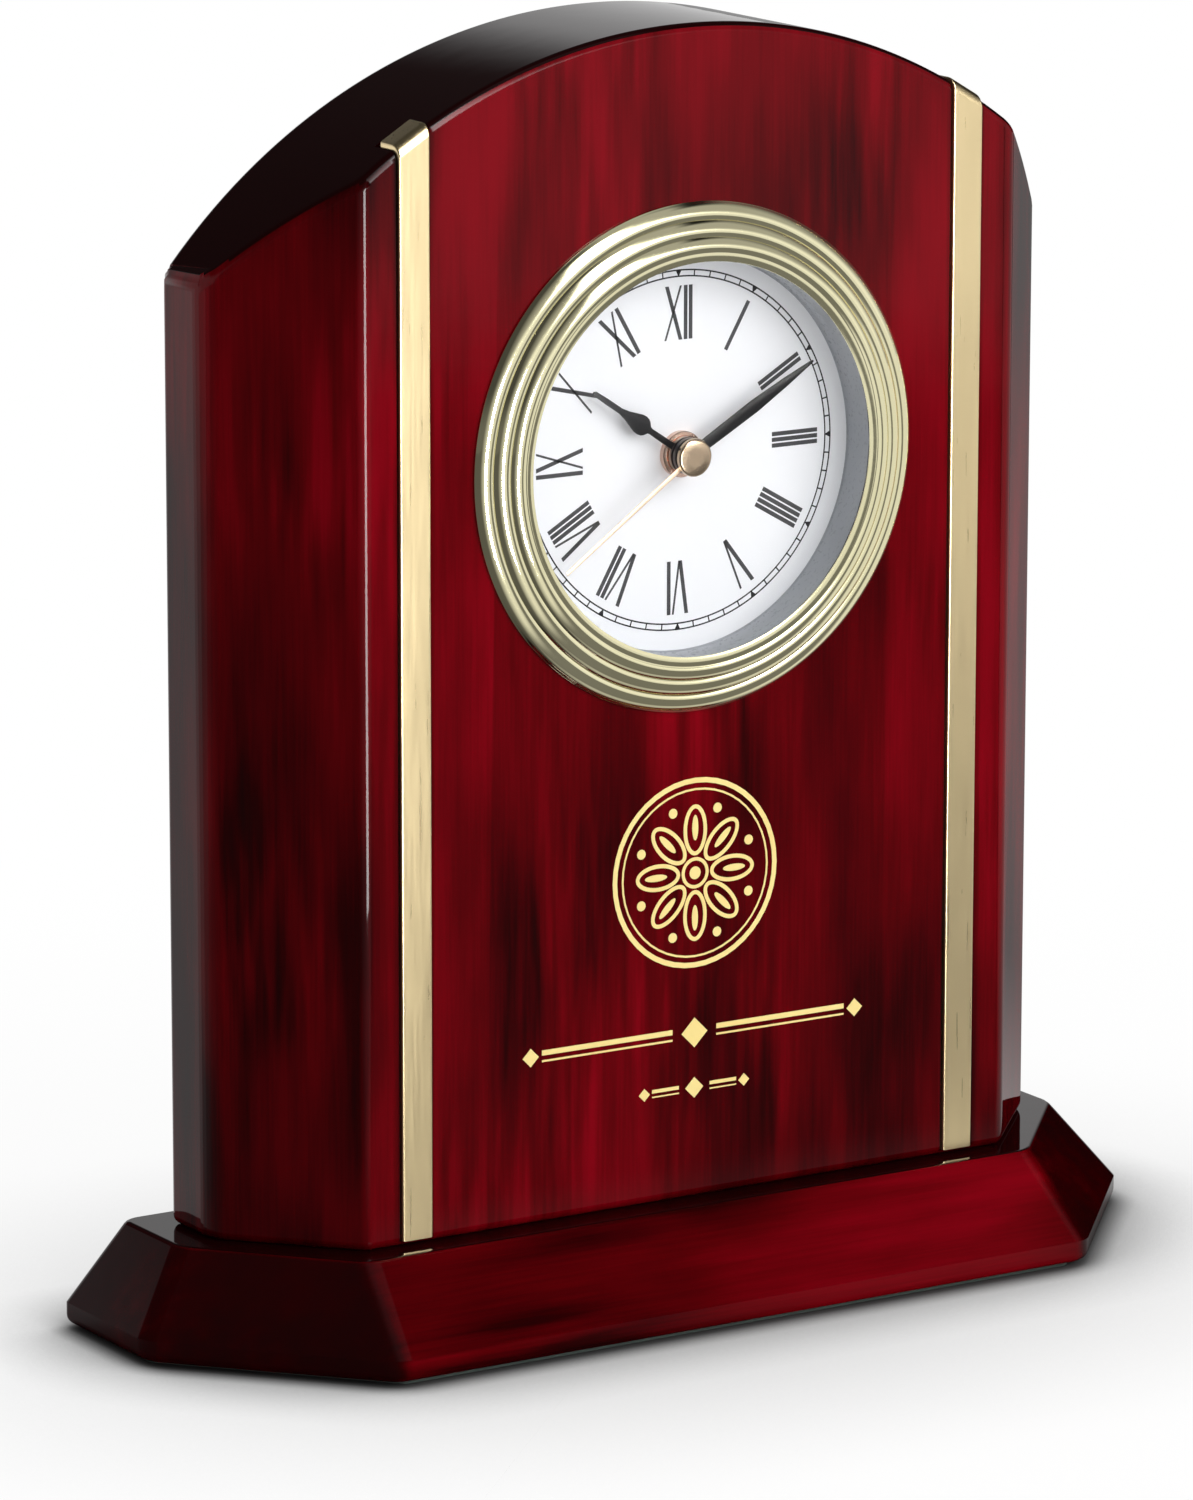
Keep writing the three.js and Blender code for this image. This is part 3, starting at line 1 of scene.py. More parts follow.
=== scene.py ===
"""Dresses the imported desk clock: lacquered wood, brass strips, a quartz insert, and a pale studio.

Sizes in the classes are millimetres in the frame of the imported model, and each piece is brought to metres
when its mesh becomes an object. Depths are counted from the body's front face, towards the back. Only the
studio's sizes are metres.
"""

import json
import logging
import math
from dataclasses import dataclass, field
from enum import Enum
from functools import reduce

import bmesh
import bpy
from mathutils import Matrix, Vector

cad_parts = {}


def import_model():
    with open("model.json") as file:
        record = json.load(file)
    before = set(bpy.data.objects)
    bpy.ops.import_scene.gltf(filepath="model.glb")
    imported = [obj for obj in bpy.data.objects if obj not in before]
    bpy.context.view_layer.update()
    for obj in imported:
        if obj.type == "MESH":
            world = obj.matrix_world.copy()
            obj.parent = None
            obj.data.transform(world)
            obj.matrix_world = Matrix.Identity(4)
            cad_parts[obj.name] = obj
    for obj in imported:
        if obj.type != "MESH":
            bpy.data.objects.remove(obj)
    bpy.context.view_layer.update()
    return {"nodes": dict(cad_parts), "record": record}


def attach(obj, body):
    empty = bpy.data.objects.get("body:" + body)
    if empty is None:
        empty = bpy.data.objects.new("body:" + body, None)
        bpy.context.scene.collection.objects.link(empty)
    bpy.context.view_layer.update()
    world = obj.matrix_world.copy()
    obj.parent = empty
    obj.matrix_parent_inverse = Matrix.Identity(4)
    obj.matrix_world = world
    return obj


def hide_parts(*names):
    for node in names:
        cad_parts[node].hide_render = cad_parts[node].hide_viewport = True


LOG = logging.getLogger("desk_clock")
MM = 0.001
FRONT = -11.6
AXIS_HEIGHT = 145.5
# The vertex mark for painted shade on cants and ends, where it starts and how far it grows.
SIDE_SHADE_MASK = "sideways"
SIDE_SHADE_FROM = 0.08
SIDE_SHADE_OVER = 0.45
NEAR = 0.01
LONG = 1.0
WHITE = (1.0, 1.0, 1.0)
Colour = tuple[float, float, float]
Size = tuple[float, float, float]
Range = tuple[float, float, float, float]
Point = tuple[float, float]
BMesh = bmesh.types.BMesh
BMEdge = bmesh.types.BMEdge
Piece = bpy.types.Object
Node = bpy.types.Node
Socket = bpy.types.NodeSocket


# Mesh helpers


def axis_point(depth: float = 0.0) -> Vector:
    """Gives the point on the clock's axis at a depth behind the body's front face."""
    return Vector((0.0, FRONT + depth, AXIS_HEIGHT))


def new_object(name: str, bm: BMesh, scale: float = MM) -> Piece:
    """Makes an object at the origin from a mesh, which is freed.

    Args:
        name: The object's name.
        bm: The mesh.
        scale: What brings it to metres.

    Returns:
        The object, linked to the scene.
    """
    bmesh.ops.scale(bm, vec=(scale, scale, scale), verts=bm.verts)
    mesh = bpy.data.meshes.new(name)
    bm.to_mesh(mesh)
    bm.free()
    obj = bpy.data.objects.new(name, mesh)
    bpy.context.scene.collection.objects.link(obj)
    return obj


def smooth(obj: Piece, angle: float) -> None:
    """Shades a piece smooth, but for edges that turn by more than an angle in degrees."""
    obj.data.shade_smooth()
    obj.data.set_sharp_from_angle(angle=math.radians(angle))


def hold_faces(obj: Piece, keep_sharp: bool) -> None:
    """Lets broad faces hold their own normals beside rounded edges.

    Args:
        obj: The piece.
        keep_sharp: Whether its sharp edges stay sharp.
    """
    weight = obj.modifiers.new("broad_faces", "WEIGHTED_NORMAL")
    weight.keep_sharp = keep_sharp
    weight.weight = 100


def finished(name: str, bm: BMesh, finish: "Finish", smooth_angle: float = 40.0) -> Piece:
    """Makes a piece from a mesh that is drawn in millimetres.

    Args:
        name: The piece's name.
        bm: Its mesh, which is freed.
        finish: Its finish.
        smooth_angle: Edges that turn by more degrees than this stay sharp.

    Returns:
        The piece.
    """
    bmesh.ops.remove_doubles(bm, verts=bm.verts, dist=0.0005)
    bmesh.ops.recalc_face_normals(bm, faces=bm.faces)
    obj = new_object(name, bm)
    obj.data.materials.append(finish.material())
    smooth(obj, smooth_angle)
    return obj


def hand_over(obj: Piece, body: str, slot: str, *nodes: str) -> None:
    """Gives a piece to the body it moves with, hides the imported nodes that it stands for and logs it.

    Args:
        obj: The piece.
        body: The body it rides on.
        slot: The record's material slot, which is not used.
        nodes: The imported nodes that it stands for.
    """
    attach(obj, body)
    if nodes:
        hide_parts(*nodes)
    LOG.info("%s: %d faces", obj.name, len(obj.data.polygons))


def push_out(bm: BMesh, faces: list[bmesh.types.BMFace], push: Vector) -> None:
    """Pushes flat faces out to solids.

    Args:
        bm: The mesh.
        faces: The faces.
        push: How far and which way they go.
    """
    pushed = bmesh.ops.extrude_face_region(bm, geom=faces)["geom"]
    far = [item for item in pushed if isinstance(item, bmesh.types.BMVert)]
    bmesh.ops.translate(bm, vec=push, verts=far)


def add_prism(bm: BMesh, outline: list[Vector], push: Vector) -> None:
    """Adds a flat outline to a mesh and pushes it out to a solid."""
    push_out(bm, [bm.faces.new([bm.verts.new(point) for point in outline])], push)


def add_ring(bm: BMesh, profile: list[Point], steps: int) -> None:
    """Turns a closed profile about the clock's axis.

    Args:
        bm: The mesh it is added to.
        profile: Radius and depth of each corner, in order round the profile.
        steps: How many steps the turn has.
    """
    corners = [bm.verts.new((radius, FRONT + depth, AXIS_HEIGHT)) for radius, depth in profile]
    edges = [bm.edges.new((a, b)) for a, b in zip(corners, corners[1:] + corners[:1])]
    bmesh.ops.spin(
        bm,
        geom=corners + edges,
        cent=axis_point(),
        axis=(0.0, 1.0, 0.0),
        angle=math.tau,
        steps=steps,
        use_merge=True,
    )


def flat_ring(inner: float, outer: float, near: float, far: float) -> list[Point]:
    """Gives the profile of a flat ring from its two radii and its two depths."""
    return [(inner, near), (outer, near), (outer, far), (inner, far)]


def bead_points(start: Point, end: Point, half_angle: float, steps: int) -> list[Point]:
    """Gives points on a rounded bead between two corners of a profile.

    Args:
        start: Radius and depth where the bead starts.
        end: Radius and depth where it ends.
        half_angle: Half of the angle that the arc turns through, in degrees.
        steps: How many stretches the arc has.

    Returns:
        The points from start to end, both included.
    """
    reach = math.hypot(end[0] - start[0], end[1] - start[1]) / 2
    along = ((end[0] - start[0]) / (2 * reach), (end[1] - start[1]) / (2 * reach))
    out = (along[1], -along[0]) if along[0] > 0 else (-along[1], along[0])
    middle = ((start[0] + end[0]) / 2, (start[1] + end[1]) / 2)
    turn = math.radians(half_angle)
    radius = reach / math.sin(turn)
    points = []
    for step in range(steps + 1):
        angle = -turn + 2 * turn * step / steps
        run = radius * math.sin(angle)
        rise = radius * (math.cos(angle) - math.cos(turn))
        points.append(tuple(middle[part] + along[part] * run + out[part] * rise for part in (0, 1)))
    return points


def box(middle: Vector, size: Size) -> BMesh:
    """Makes a box round a point.

    Args:
        middle: The point.
        size: The box's width, depth and height.

    Returns:
        Its mesh.
    """
    bm = bmesh.new()
    bmesh.ops.create_cube(bm, size=1.0, matrix=Matrix.Translation(middle) @ Matrix.Diagonal((*size, 1.0)))
    return bm


def canted_plan(half: float, front: float, back: float, cant: Point) -> list[Point]:
    """Gives a plan with canted front corners.

    Args:
        half: Half of its width.
        front: Where its front is.
        back: Where its back is.
        cant: How far the cants reach in from the sides and back from the front.

    Returns:
        Its six corners in order.
    """
    flat = half - cant[0]
    side = front + cant[1]
    return [(-flat, front), (flat, front), (half, side), (half, back), (-half, back), (-half, side)]


def span(edge: BMEdge, axis: int) -> float:
    """Gives how far an edge reaches along an axis: 0 for X, 1 for Y, 2 for Z."""
    return abs(edge.verts[0].co[axis] - edge.verts[1].co[axis])


def round_edges(bm: BMesh, edges: list[BMEdge], width: float, segments: int) -> None:
    """Rounds some edges.

    Args:
        bm: The mesh.
        edges: The edges.
        width: How far the rounding reaches along each face.
        segments: How many faces it has.
    """
    bmesh.ops.bevel(
        bm,
        geom=edges,
        offset=width,
        offset_type="OFFSET",
        segments=segments,
        profile=0.5,
        affect="EDGES",
        clamp_overlap=False,
        material=-1,
    )


def cut(target: Piece, bm: BMesh) -> None:
    """Cuts a solid out of a piece.

    Args:
        target: The piece, whose mesh is in metres.
        bm: The cutter's mesh in millimetres, which is freed.
    """
    bmesh.ops.recalc_face_normals(bm, faces=bm.faces)
    tool = new_object("cutter", bm)
    cutting = target.modifiers.new("cut", "BOOLEAN")
    cutting.operation = "DIFFERENCE"
    cutting.solver = "EXACT"
    cutting.object = tool
    graph = bpy.context.evaluated_depsgraph_get()
    result = bpy.data.meshes.new_from_object(target.evaluated_get(graph))
    target.modifiers.remove(cutting)
    spent = (target.data, tool.data)
    target.data = result
    bpy.data.objects.remove(tool)
    for mesh in spent:
        bpy.data.meshes.remove(mesh)


# Shader helpers


class NodeBench:
    """Adds shader nodes to a tree and joins them in short calls."""

    def __init__(self, tree: bpy.types.NodeTree) -> None:
        """Keeps the tree that the calls work on."""
        self.tree = tree

    def add(self, kind: str, settings: dict | None = None, **sockets: object) -> Node:
        """Adds a node.

        Args:
            kind: The node's type name.
            settings: Properties that are set on the node.
            sockets: Values or sockets for its inputs, by name with _ for a space.

        Returns:
            The node.
        """
        node = self.tree.nodes.new(kind)
        for key, value in (settings or {}).items():
            setattr(node, key, value)
        for key, value in sockets.items():
            self.feed(node.inputs[key.replace("_", " ")], value)
        return node

    def feed(self, socket: Socket, value: object) -> None:
        """Joins an output to an input, or sets the input's own value.

        Args:
            socket: The input.
            value: The output or the value, which is three numbers for a colour.
        """
        if isinstance(value, Socket):
            self.tree.links.new(value, socket)
        elif socket.type == "RGBA":
            socket.default_value = (*value, 1.0)
        else:
            socket.default_value = value

    def row(self, kind: str, settings: dict, *values: object) -> Node:
        """Adds a node and feeds its inputs in their own order.

        Args:
            kind: The node's type name.
            settings: Properties that are set on the node.
            values: Values or sockets, from the first input on.

        Returns:
            The node.
        """
        node = self.add(kind, settings)
        for socket, value in zip(node.inputs, values):
            self.feed(socket, value)
        return node

    def maths(self, operation: str, *values: object) -> Socket:
        """Adds a step of maths on some numbers and returns its result."""
        return self.row("ShaderNodeMath", {"operation": operation}, *values).outputs[0]

    def product(self, *values: object) -> Socket:
        """Multiplies some numbers and returns the product."""
        return reduce(lambda first, second: self.maths("MULTIPLY", first, second), values)

    def total(self, *values: object) -> Socket:
        """Adds some numbers up and returns the sum."""
        return reduce(lambda first, second: self.maths("ADD", first, second), values)

    def rest(self, share: Socket) -> Socket:
        """Returns what a share leaves of one."""
        return self.maths("SUBTRACT", 1.0, share)

    def vectors(self, operation: str, *values: object) -> Node:
        """Adds a step of maths on some vectors and returns its node."""
        return self.row("ShaderNodeVectorMath", {"operation": operation}, *values)

    def times(self, vector: Socket, scale: Size | float) -> Socket:
        """Multiplies a vector, evenly or along each axis, and returns it."""
        parts = scale if isinstance(scale, tuple) else (scale, scale, scale)
        return self.vectors("MULTIPLY", vector, parts).outputs[0]

    def noise(self, vector: Socket, scale: Size | float, detail: float = 2.0) -> Socket:
        """Adds a noise whose scale is even or goes by axis, and returns its grey value."""
        scaled = self.times(vector, scale)
        return self.add("ShaderNodeTexNoise", Vector=scaled, Scale=1.0, Detail=detail).outputs[0]

    def spread(self, value: Socket, *ends: object, kind: str = "SMOOTHSTEP") -> Socket:
        """Spreads a value from one range over another.

        Args:
            value: The value.
            ends: The range's two ends, then the new range's where they aren't 0 and 1.
            kind: How the value runs between the ends.

        Returns:
            The spread value.
        """
        return self.row("ShaderNodeMapRange", {"interpolation_type": kind}, value, *ends).outputs[0]

    def blend(self, factor: object, first: object, second: object) -> Socket:
        """Mixes two colours.

        Args:
            factor: The second colour's share.
            first: The first colour.
            second: The second colour.

        Returns:
            The mixed colour.
        """
        node = self.add("ShaderNodeMix", {"data_type": "RGBA"})
        for index, value in ((0, factor), (6, first), (7, second)):
            self.feed(node.inputs[index], value)
        return node.outputs[2]

    def ramp(self, value: Socket, stops: list[tuple[float, Colour]]) -> Socket:
        """Turns a value into a colour.

        Args:
            value: The value.
            stops: Where each colour stands, and the colour.

        Returns:
            The colour.
        """
        node = self.add("ShaderNodeValToRGB", Fac=value)
        band = node.color_ramp.elements
        while len(band) < len(stops):
            band.new(0.5)
        for element, (place, colour) in zip(band, stops):
            element.position = place
            element.color = (*colour, 1.0)
        return node.outputs[0]

    def bump(self, height: Socket, strength: float, distance: float) -> Socket:
        """Adds a bump from a height and returns its normal."""
        return self.add("ShaderNodeBump", Strength=strength, Distance=distance, Height=height).outputs[0]

    def glow(self, colour: object, strength: object) -> Socket:
        """Adds an emission and returns it."""
        return self.add("ShaderNodeEmission", Color=colour, Strength=strength).outputs[0]

    def mix(self, factor: object, first: Socket, second: Socket) -> Socket:
        """Mixes two shaders and returns the mix."""
        return self.row("ShaderNodeMixShader", {}, factor, first, second).outputs[0]

    def rays(self) -> tuple[Socket, Socket]:
        """Adds what a material or the world asks about a ray.

        Returns:
            Whether the camera sees it, also through glass, and whether it is mirrored.
        """
        path = self.add("ShaderNodeLightPath").outputs
        seen = self.maths("MAXIMUM", path["Is Camera Ray"], path["Is Transmission Ray"])
        return seen, path["Is Glossy Ray"]


def fresh_bench(owner: bpy.types.Material | bpy.types.World) -> NodeBench:
    """Empties the node tree of a material or world.

    Args:
        owner: The material or world.

    Returns:
        A bench for its tree.
    """
    owner.use_nodes = True
    owner.node_tree.nodes.clear()
    return NodeBench(owner.node_tree)


class SharedEffect:
    """A node group that more than one material uses, built when it is first placed."""

    name: str
    numbers: dict[str, float]
    outputs: dict[str, str]

    def placed(self, bench: NodeBench, **values: object) -> Node:
        """Places the group in a material with its own values and returns its node."""
        group = bpy.data.node_groups.get(self.name) or self.built()
        return bench.add("ShaderNodeGroup", {"node_tree": group}, **values)

    def built(self) -> bpy.types.NodeTree:
        """Builds the group, into which a vector and the effect's numbers go.

        Returns:
            The group.
        """
        group = bpy.data.node_groups.new(self.name, "ShaderNodeTree")
        group.interface.new_socket("Vector", in_out="INPUT", socket_type="NodeSocketVector")
        for label, value in self.numbers.items():
            socket = group.interface.new_socket(label, in_out="INPUT", socket_type="NodeSocketFloat")
            socket.default_value = value
        for label, kind in self.outputs.items():
            group.interface.new_socket(label, in_out="OUTPUT", socket_type=kind)
        bench = NodeBench(group)
        results = self.fill(bench, bench.add("NodeGroupInput"))
        bench.add("NodeGroupOutput", **results)
        return group

    def fill(self, bench: NodeBench, source: Node) -> dict[str, Socket]:
        """Adds the group's nodes and returns what it puts out, by name."""
        raise NotImplementedError


class RosewoodGrain(SharedEffect):
    """The grain of red lacquered rosewood, whose fibres run along the vector's third part."""

    name = "rosewood_grain"
    numbers = {"Contrast": 1.0, "Shade": 0.0}
    outputs = {"Color": "NodeSocketColor"}
    stops = [
        (0.0, (0.0115, 0.0010, 0.0012)),
        (0.10, (0.022, 0.0002, 0.0006)),
        (0.3, (0.056, 0.0002, 0.0013)),
        (0.55, (0.094, 0.0003, 0.0019)),
        (0.8, (0.148, 0.0004, 0.0034)),
        (1.0, (0.215, 0.0006, 0.0058)),
    ]

    def fill(self, bench: NodeBench, source: Node) -> dict[str, Socket]:
        """Adds broad clouds, patches, fibres and streaks, and turns their sum into a colour.

        Args:
            bench: The group's bench.
            source: The group's input node.

        Returns:
            What the group puts out, by name.
        """
        vector = source.outputs["Vector"]
        sway = bench.product(bench.noise(vector, (9.0, 9.0, 6.0)), 0.008)
        shift = bench.add("ShaderNodeCombineXYZ", X=sway).outputs[0]
        bent = bench.vectors("ADD", vector, shift).outputs[0]
        broad = bench.noise(bent, (22.0, 22.0, 9.0), 1.0)
        patch = bench.noise(bent, (72.0, 72.0, 19.0), 2.5)
        fibre = bench.noise(vector, (2000.0, 2000.0, 60.0))
        streak = bench.noise(bent, (320.0, 320.0, 26.0))
        where = bench.spread(bench.noise(bent, (34.0, 34.0, 16.0), 1.0), 0.42, 0.64, 0.08, 0.44)
        mixed = bench.total(
            bench.product(broad, 0.50),
            bench.product(patch, 0.41),
            bench.product(fibre, 0.09),
            bench.product(bench.maths("SUBTRACT", streak, 0.5), where),
        )
        centred = bench.product(bench.maths("SUBTRACT", mixed, 0.5), source.outputs["Contrast"])
        shaded = bench.total(source.outputs["Shade"], 0.5, centred)
        return {"Color": bench.ramp(bench.spread(shaded, 0.30, 0.68), self.stops)}


class FineTexture(SharedEffect):
    """A fine uneven surface: a height for a bump and a value for roughness."""

    name = "fine_texture"
    numbers = {"Low": 0.3, "High": 0.5}
    outputs = {"Height": "NodeSocketFloat", "Value": "NodeSocketFloat"}

    def fill(self, bench: NodeBench, source: Node) -> dict[str, Socket]:
        """Adds a noise and spreads it between the ends of the roughness.

        Args:
            bench: The group's bench.
            source: The group's input node.

        Returns:
            What the group puts out, by name.
        """
        height = bench.noise(source.outputs["Vector"], 1.0, 3.0)
        ends = (source.outputs["Low"], source.outputs["High"])
        return {"Height": height, "Value": bench.spread(height, 0.3, 0.7, *ends, kind="LINEAR")}


# Finishes


class Grain(Enum):
    """Which way the fibres of a wooden face run, as the turn of its pattern in degrees."""

    UPRIGHT = (0.0, 0.0, 0.0)
    ACROSS = (0.0, 90.0, 0.0)


class Finish:
    """What every finish shares: one material under one name, made when it is first asked for."""

    name: str

    def material(self) -> bpy.types.Material:
        """Makes the finish's material, or finds it.

        Returns:
            The material.
        """
        label = f"{self.name}_finish"
        known = bpy.data.materials.get(label)
        if known:
            return known
        made = bpy.data.materials.new(label)
        bench = fresh_bench(made)
        bench.add("ShaderNodeOutputMaterial", Surface=self.surface(bench))
        return made

    def surface(self, bench: NodeBench) -> Socket:
        """Builds the finish's nodes and returns the shader."""
        raise NotImplementedError

    @staticmethod
    def place(bench: NodeBench) -> Socket:
        """Adds the place on the piece, in metres."""
        return bench.add("ShaderNodeTexCoord").outputs["Object"]


class UnevenFinish(Finish):
    """A finish whose roughness wanders between two values over its fine texture."""

    low: float
    high: float

    def fine(self, bench: NodeBench, marks: Size | float) -> Node:
        """Places the fine texture, with so many marks to the metre, evenly or along each axis."""
        scaled = bench.times(self.place(bench), marks)
        return FineTexture().placed(bench, Vector=scaled, Low=self.low, High=self.high)


@dataclass(frozen=True)
class LacqueredWood(Finish):
    """Red rosewood under a thick clear gloss, which may be painted darker and calmer on cants and ends as
    painted shade.
    """

    name: str
    grain: Grain
    start: Size
    contrast: float
    shade: float
    painted_side_shade: float = 0.0
    painted_side_calm: float = 0.0

    def surface(self, bench: NodeBench) -> Socket:
        """Builds the finish's nodes.

        Args:
            bench: The material's bench.

        Returns:
            The shader.
        """
        place = self.place(bench)
        turn = tuple(math.radians(part) for part in self.grain.value)
        turned = bench.add("ShaderNodeMapping", Vector=place, Location=self.start, Rotation=turn)
        # Painted shade: the vertex mark darkens and calms the grain on faces that turn sideways.
        sideways = bench.add("ShaderNodeAttribute", {"attribute_name": SIDE_SHADE_MASK}).outputs["Fac"]
        calm = -self.painted_side_calm * self.contrast
        grain = RosewoodGrain().placed(
            bench,
            Vector=turned.outputs[0],
            Contrast=bench.maths("MULTIPLY_ADD", sideways, calm, self.contrast),
            Shade=bench.maths("MULTIPLY_ADD", sideways, self.painted_side_shade, self.shade),
        )
        shader = bench.add(
            "ShaderNodeBsdfPrincipled",
            Base_Color=grain.outputs["Color"],
            Roughness=0.035,
            IOR=1.2,
            Normal=bench.bump(bench.noise(place, 160.0, 1.0), 0.03, 0.0004),
        )
        return shader.outputs[0]


@dataclass(frozen=True)
class Metal(UnevenFinish):
    """A metal with fine marks, which may run along one direction."""

    name: str
    colour: Colour
    tone: Colour
    low: float
    high: float
    marks: Size | float = 900.0
    bump: float = 0.05

    def surface(self, bench: NodeBench) -> Socket:
        """Builds the finish's nodes.

        Args:
            bench: The material's bench.

        Returns:
            The shader.
        """
        fine = self.fine(bench, self.marks)
        cloud = bench.spread(bench.noise(self.place(bench), 45.0), 0.35, 0.65)
        shader = bench.add(
            "ShaderNodeBsdfPrincipled",
            Base_Color=bench.blend(cloud, self.colour, self.tone),
            Metallic=1.0,
            Roughness=fine.outputs["Value"],
            Normal=bench.bump(fine.outputs["Height"], self.bump, 0.0001),
        )
        return shader.outputs[0]


@dataclass(frozen=True)
class Plastic(UnevenFinish):
    """A moulded plastic, paint or rubber with a fine uneven skin."""

    name: str
    colour: Colour
    tone: Colour
    low: float
    high: float
    marks: float = 1400.0
    bump: float = 0.15
    shine: float = 0.5

    def surface(self, bench: NodeBench) -> Socket:
        """Builds the finish's nodes.

        Args:
            bench: The material's bench.

        Returns:
            The shader.
        """
        fine = self.fine(bench, self.marks)
        cloud = bench.spread(bench.noise(self.place(bench), 70.0), 0.3, 0.7)
        shader = bench.add(
            "ShaderNodeBsdfPrincipled",
            Base_Color=bench.blend(cloud, self.colour, self.tone),
            Roughness=fine.outputs["Value"],
            Specular_IOR_Level=self.shine,
            Normal=bench.bump(fine.outputs["Height"], self.bump, 0.00012),
        )
        return shader.outputs[0]


@dataclass(frozen=True)
class Banded(UnevenFinish):
    """A finish with bands across the piece, such as wound wire or a battery's jacket."""

    name: str
    first: Colour
    second: Colour
    bands: float
    metallic: float
    low: float
    high: float

    def surface(self, bench: NodeBench) -> Socket:
        """Builds the finish's nodes.

        Args:
            bench: The material's bench.

        Returns:
            The shader.
        """
        along = bench.add("ShaderNodeSeparateXYZ", Vector=self.place(bench)).outputs[0]
        mask = bench.spread(bench.maths("SINE", bench.product(along, self.bands)), -0.3, 0.3)
        shader = bench.add(
            "ShaderNodeBsdfPrincipled",
            Base_Color=bench.blend(mask, self.first, self.second),
            Metallic=self.metallic,
            Roughness=self.fine(bench, 1200.0).outputs["Value"],
            Normal=bench.bump(mask, 0.2, 0.0001),
        )
        return shader.outputs[0]


@dataclass(frozen=True)
class Glass(Finish):
    """Clear flat glass that lets the light through to the dial."""

    name: str

    def surface(self, bench: NodeBench) -> Socket:
        """Builds the finish's nodes.

        Args:
            bench: The material's bench.

        Returns:
            The shader.
        """
        glass = bench.add(
            "ShaderNodeBsdfPrincipled",
            Base_Color=WHITE,
            Roughness=bench.spread(bench.noise(self.place(bench), 60.0), 0.4, 0.8, 0.0, 0.02),
            IOR=1.25,
            Transmission_Weight=1.0,
        )
        clear = bench.add("ShaderNodeBsdfTransparent", Color=WHITE)
        path = bench.add("ShaderNodeLightPath").outputs
        unseen = bench.maths("MAXIMUM", path["Is Shadow Ray"], path["Is Diffuse Ray"])
        unseen = bench.maths("MAXIMUM", unseen, path["Is Glossy Ray"])
        return bench.mix(unseen, glass.outputs[0], clear.outputs[0])


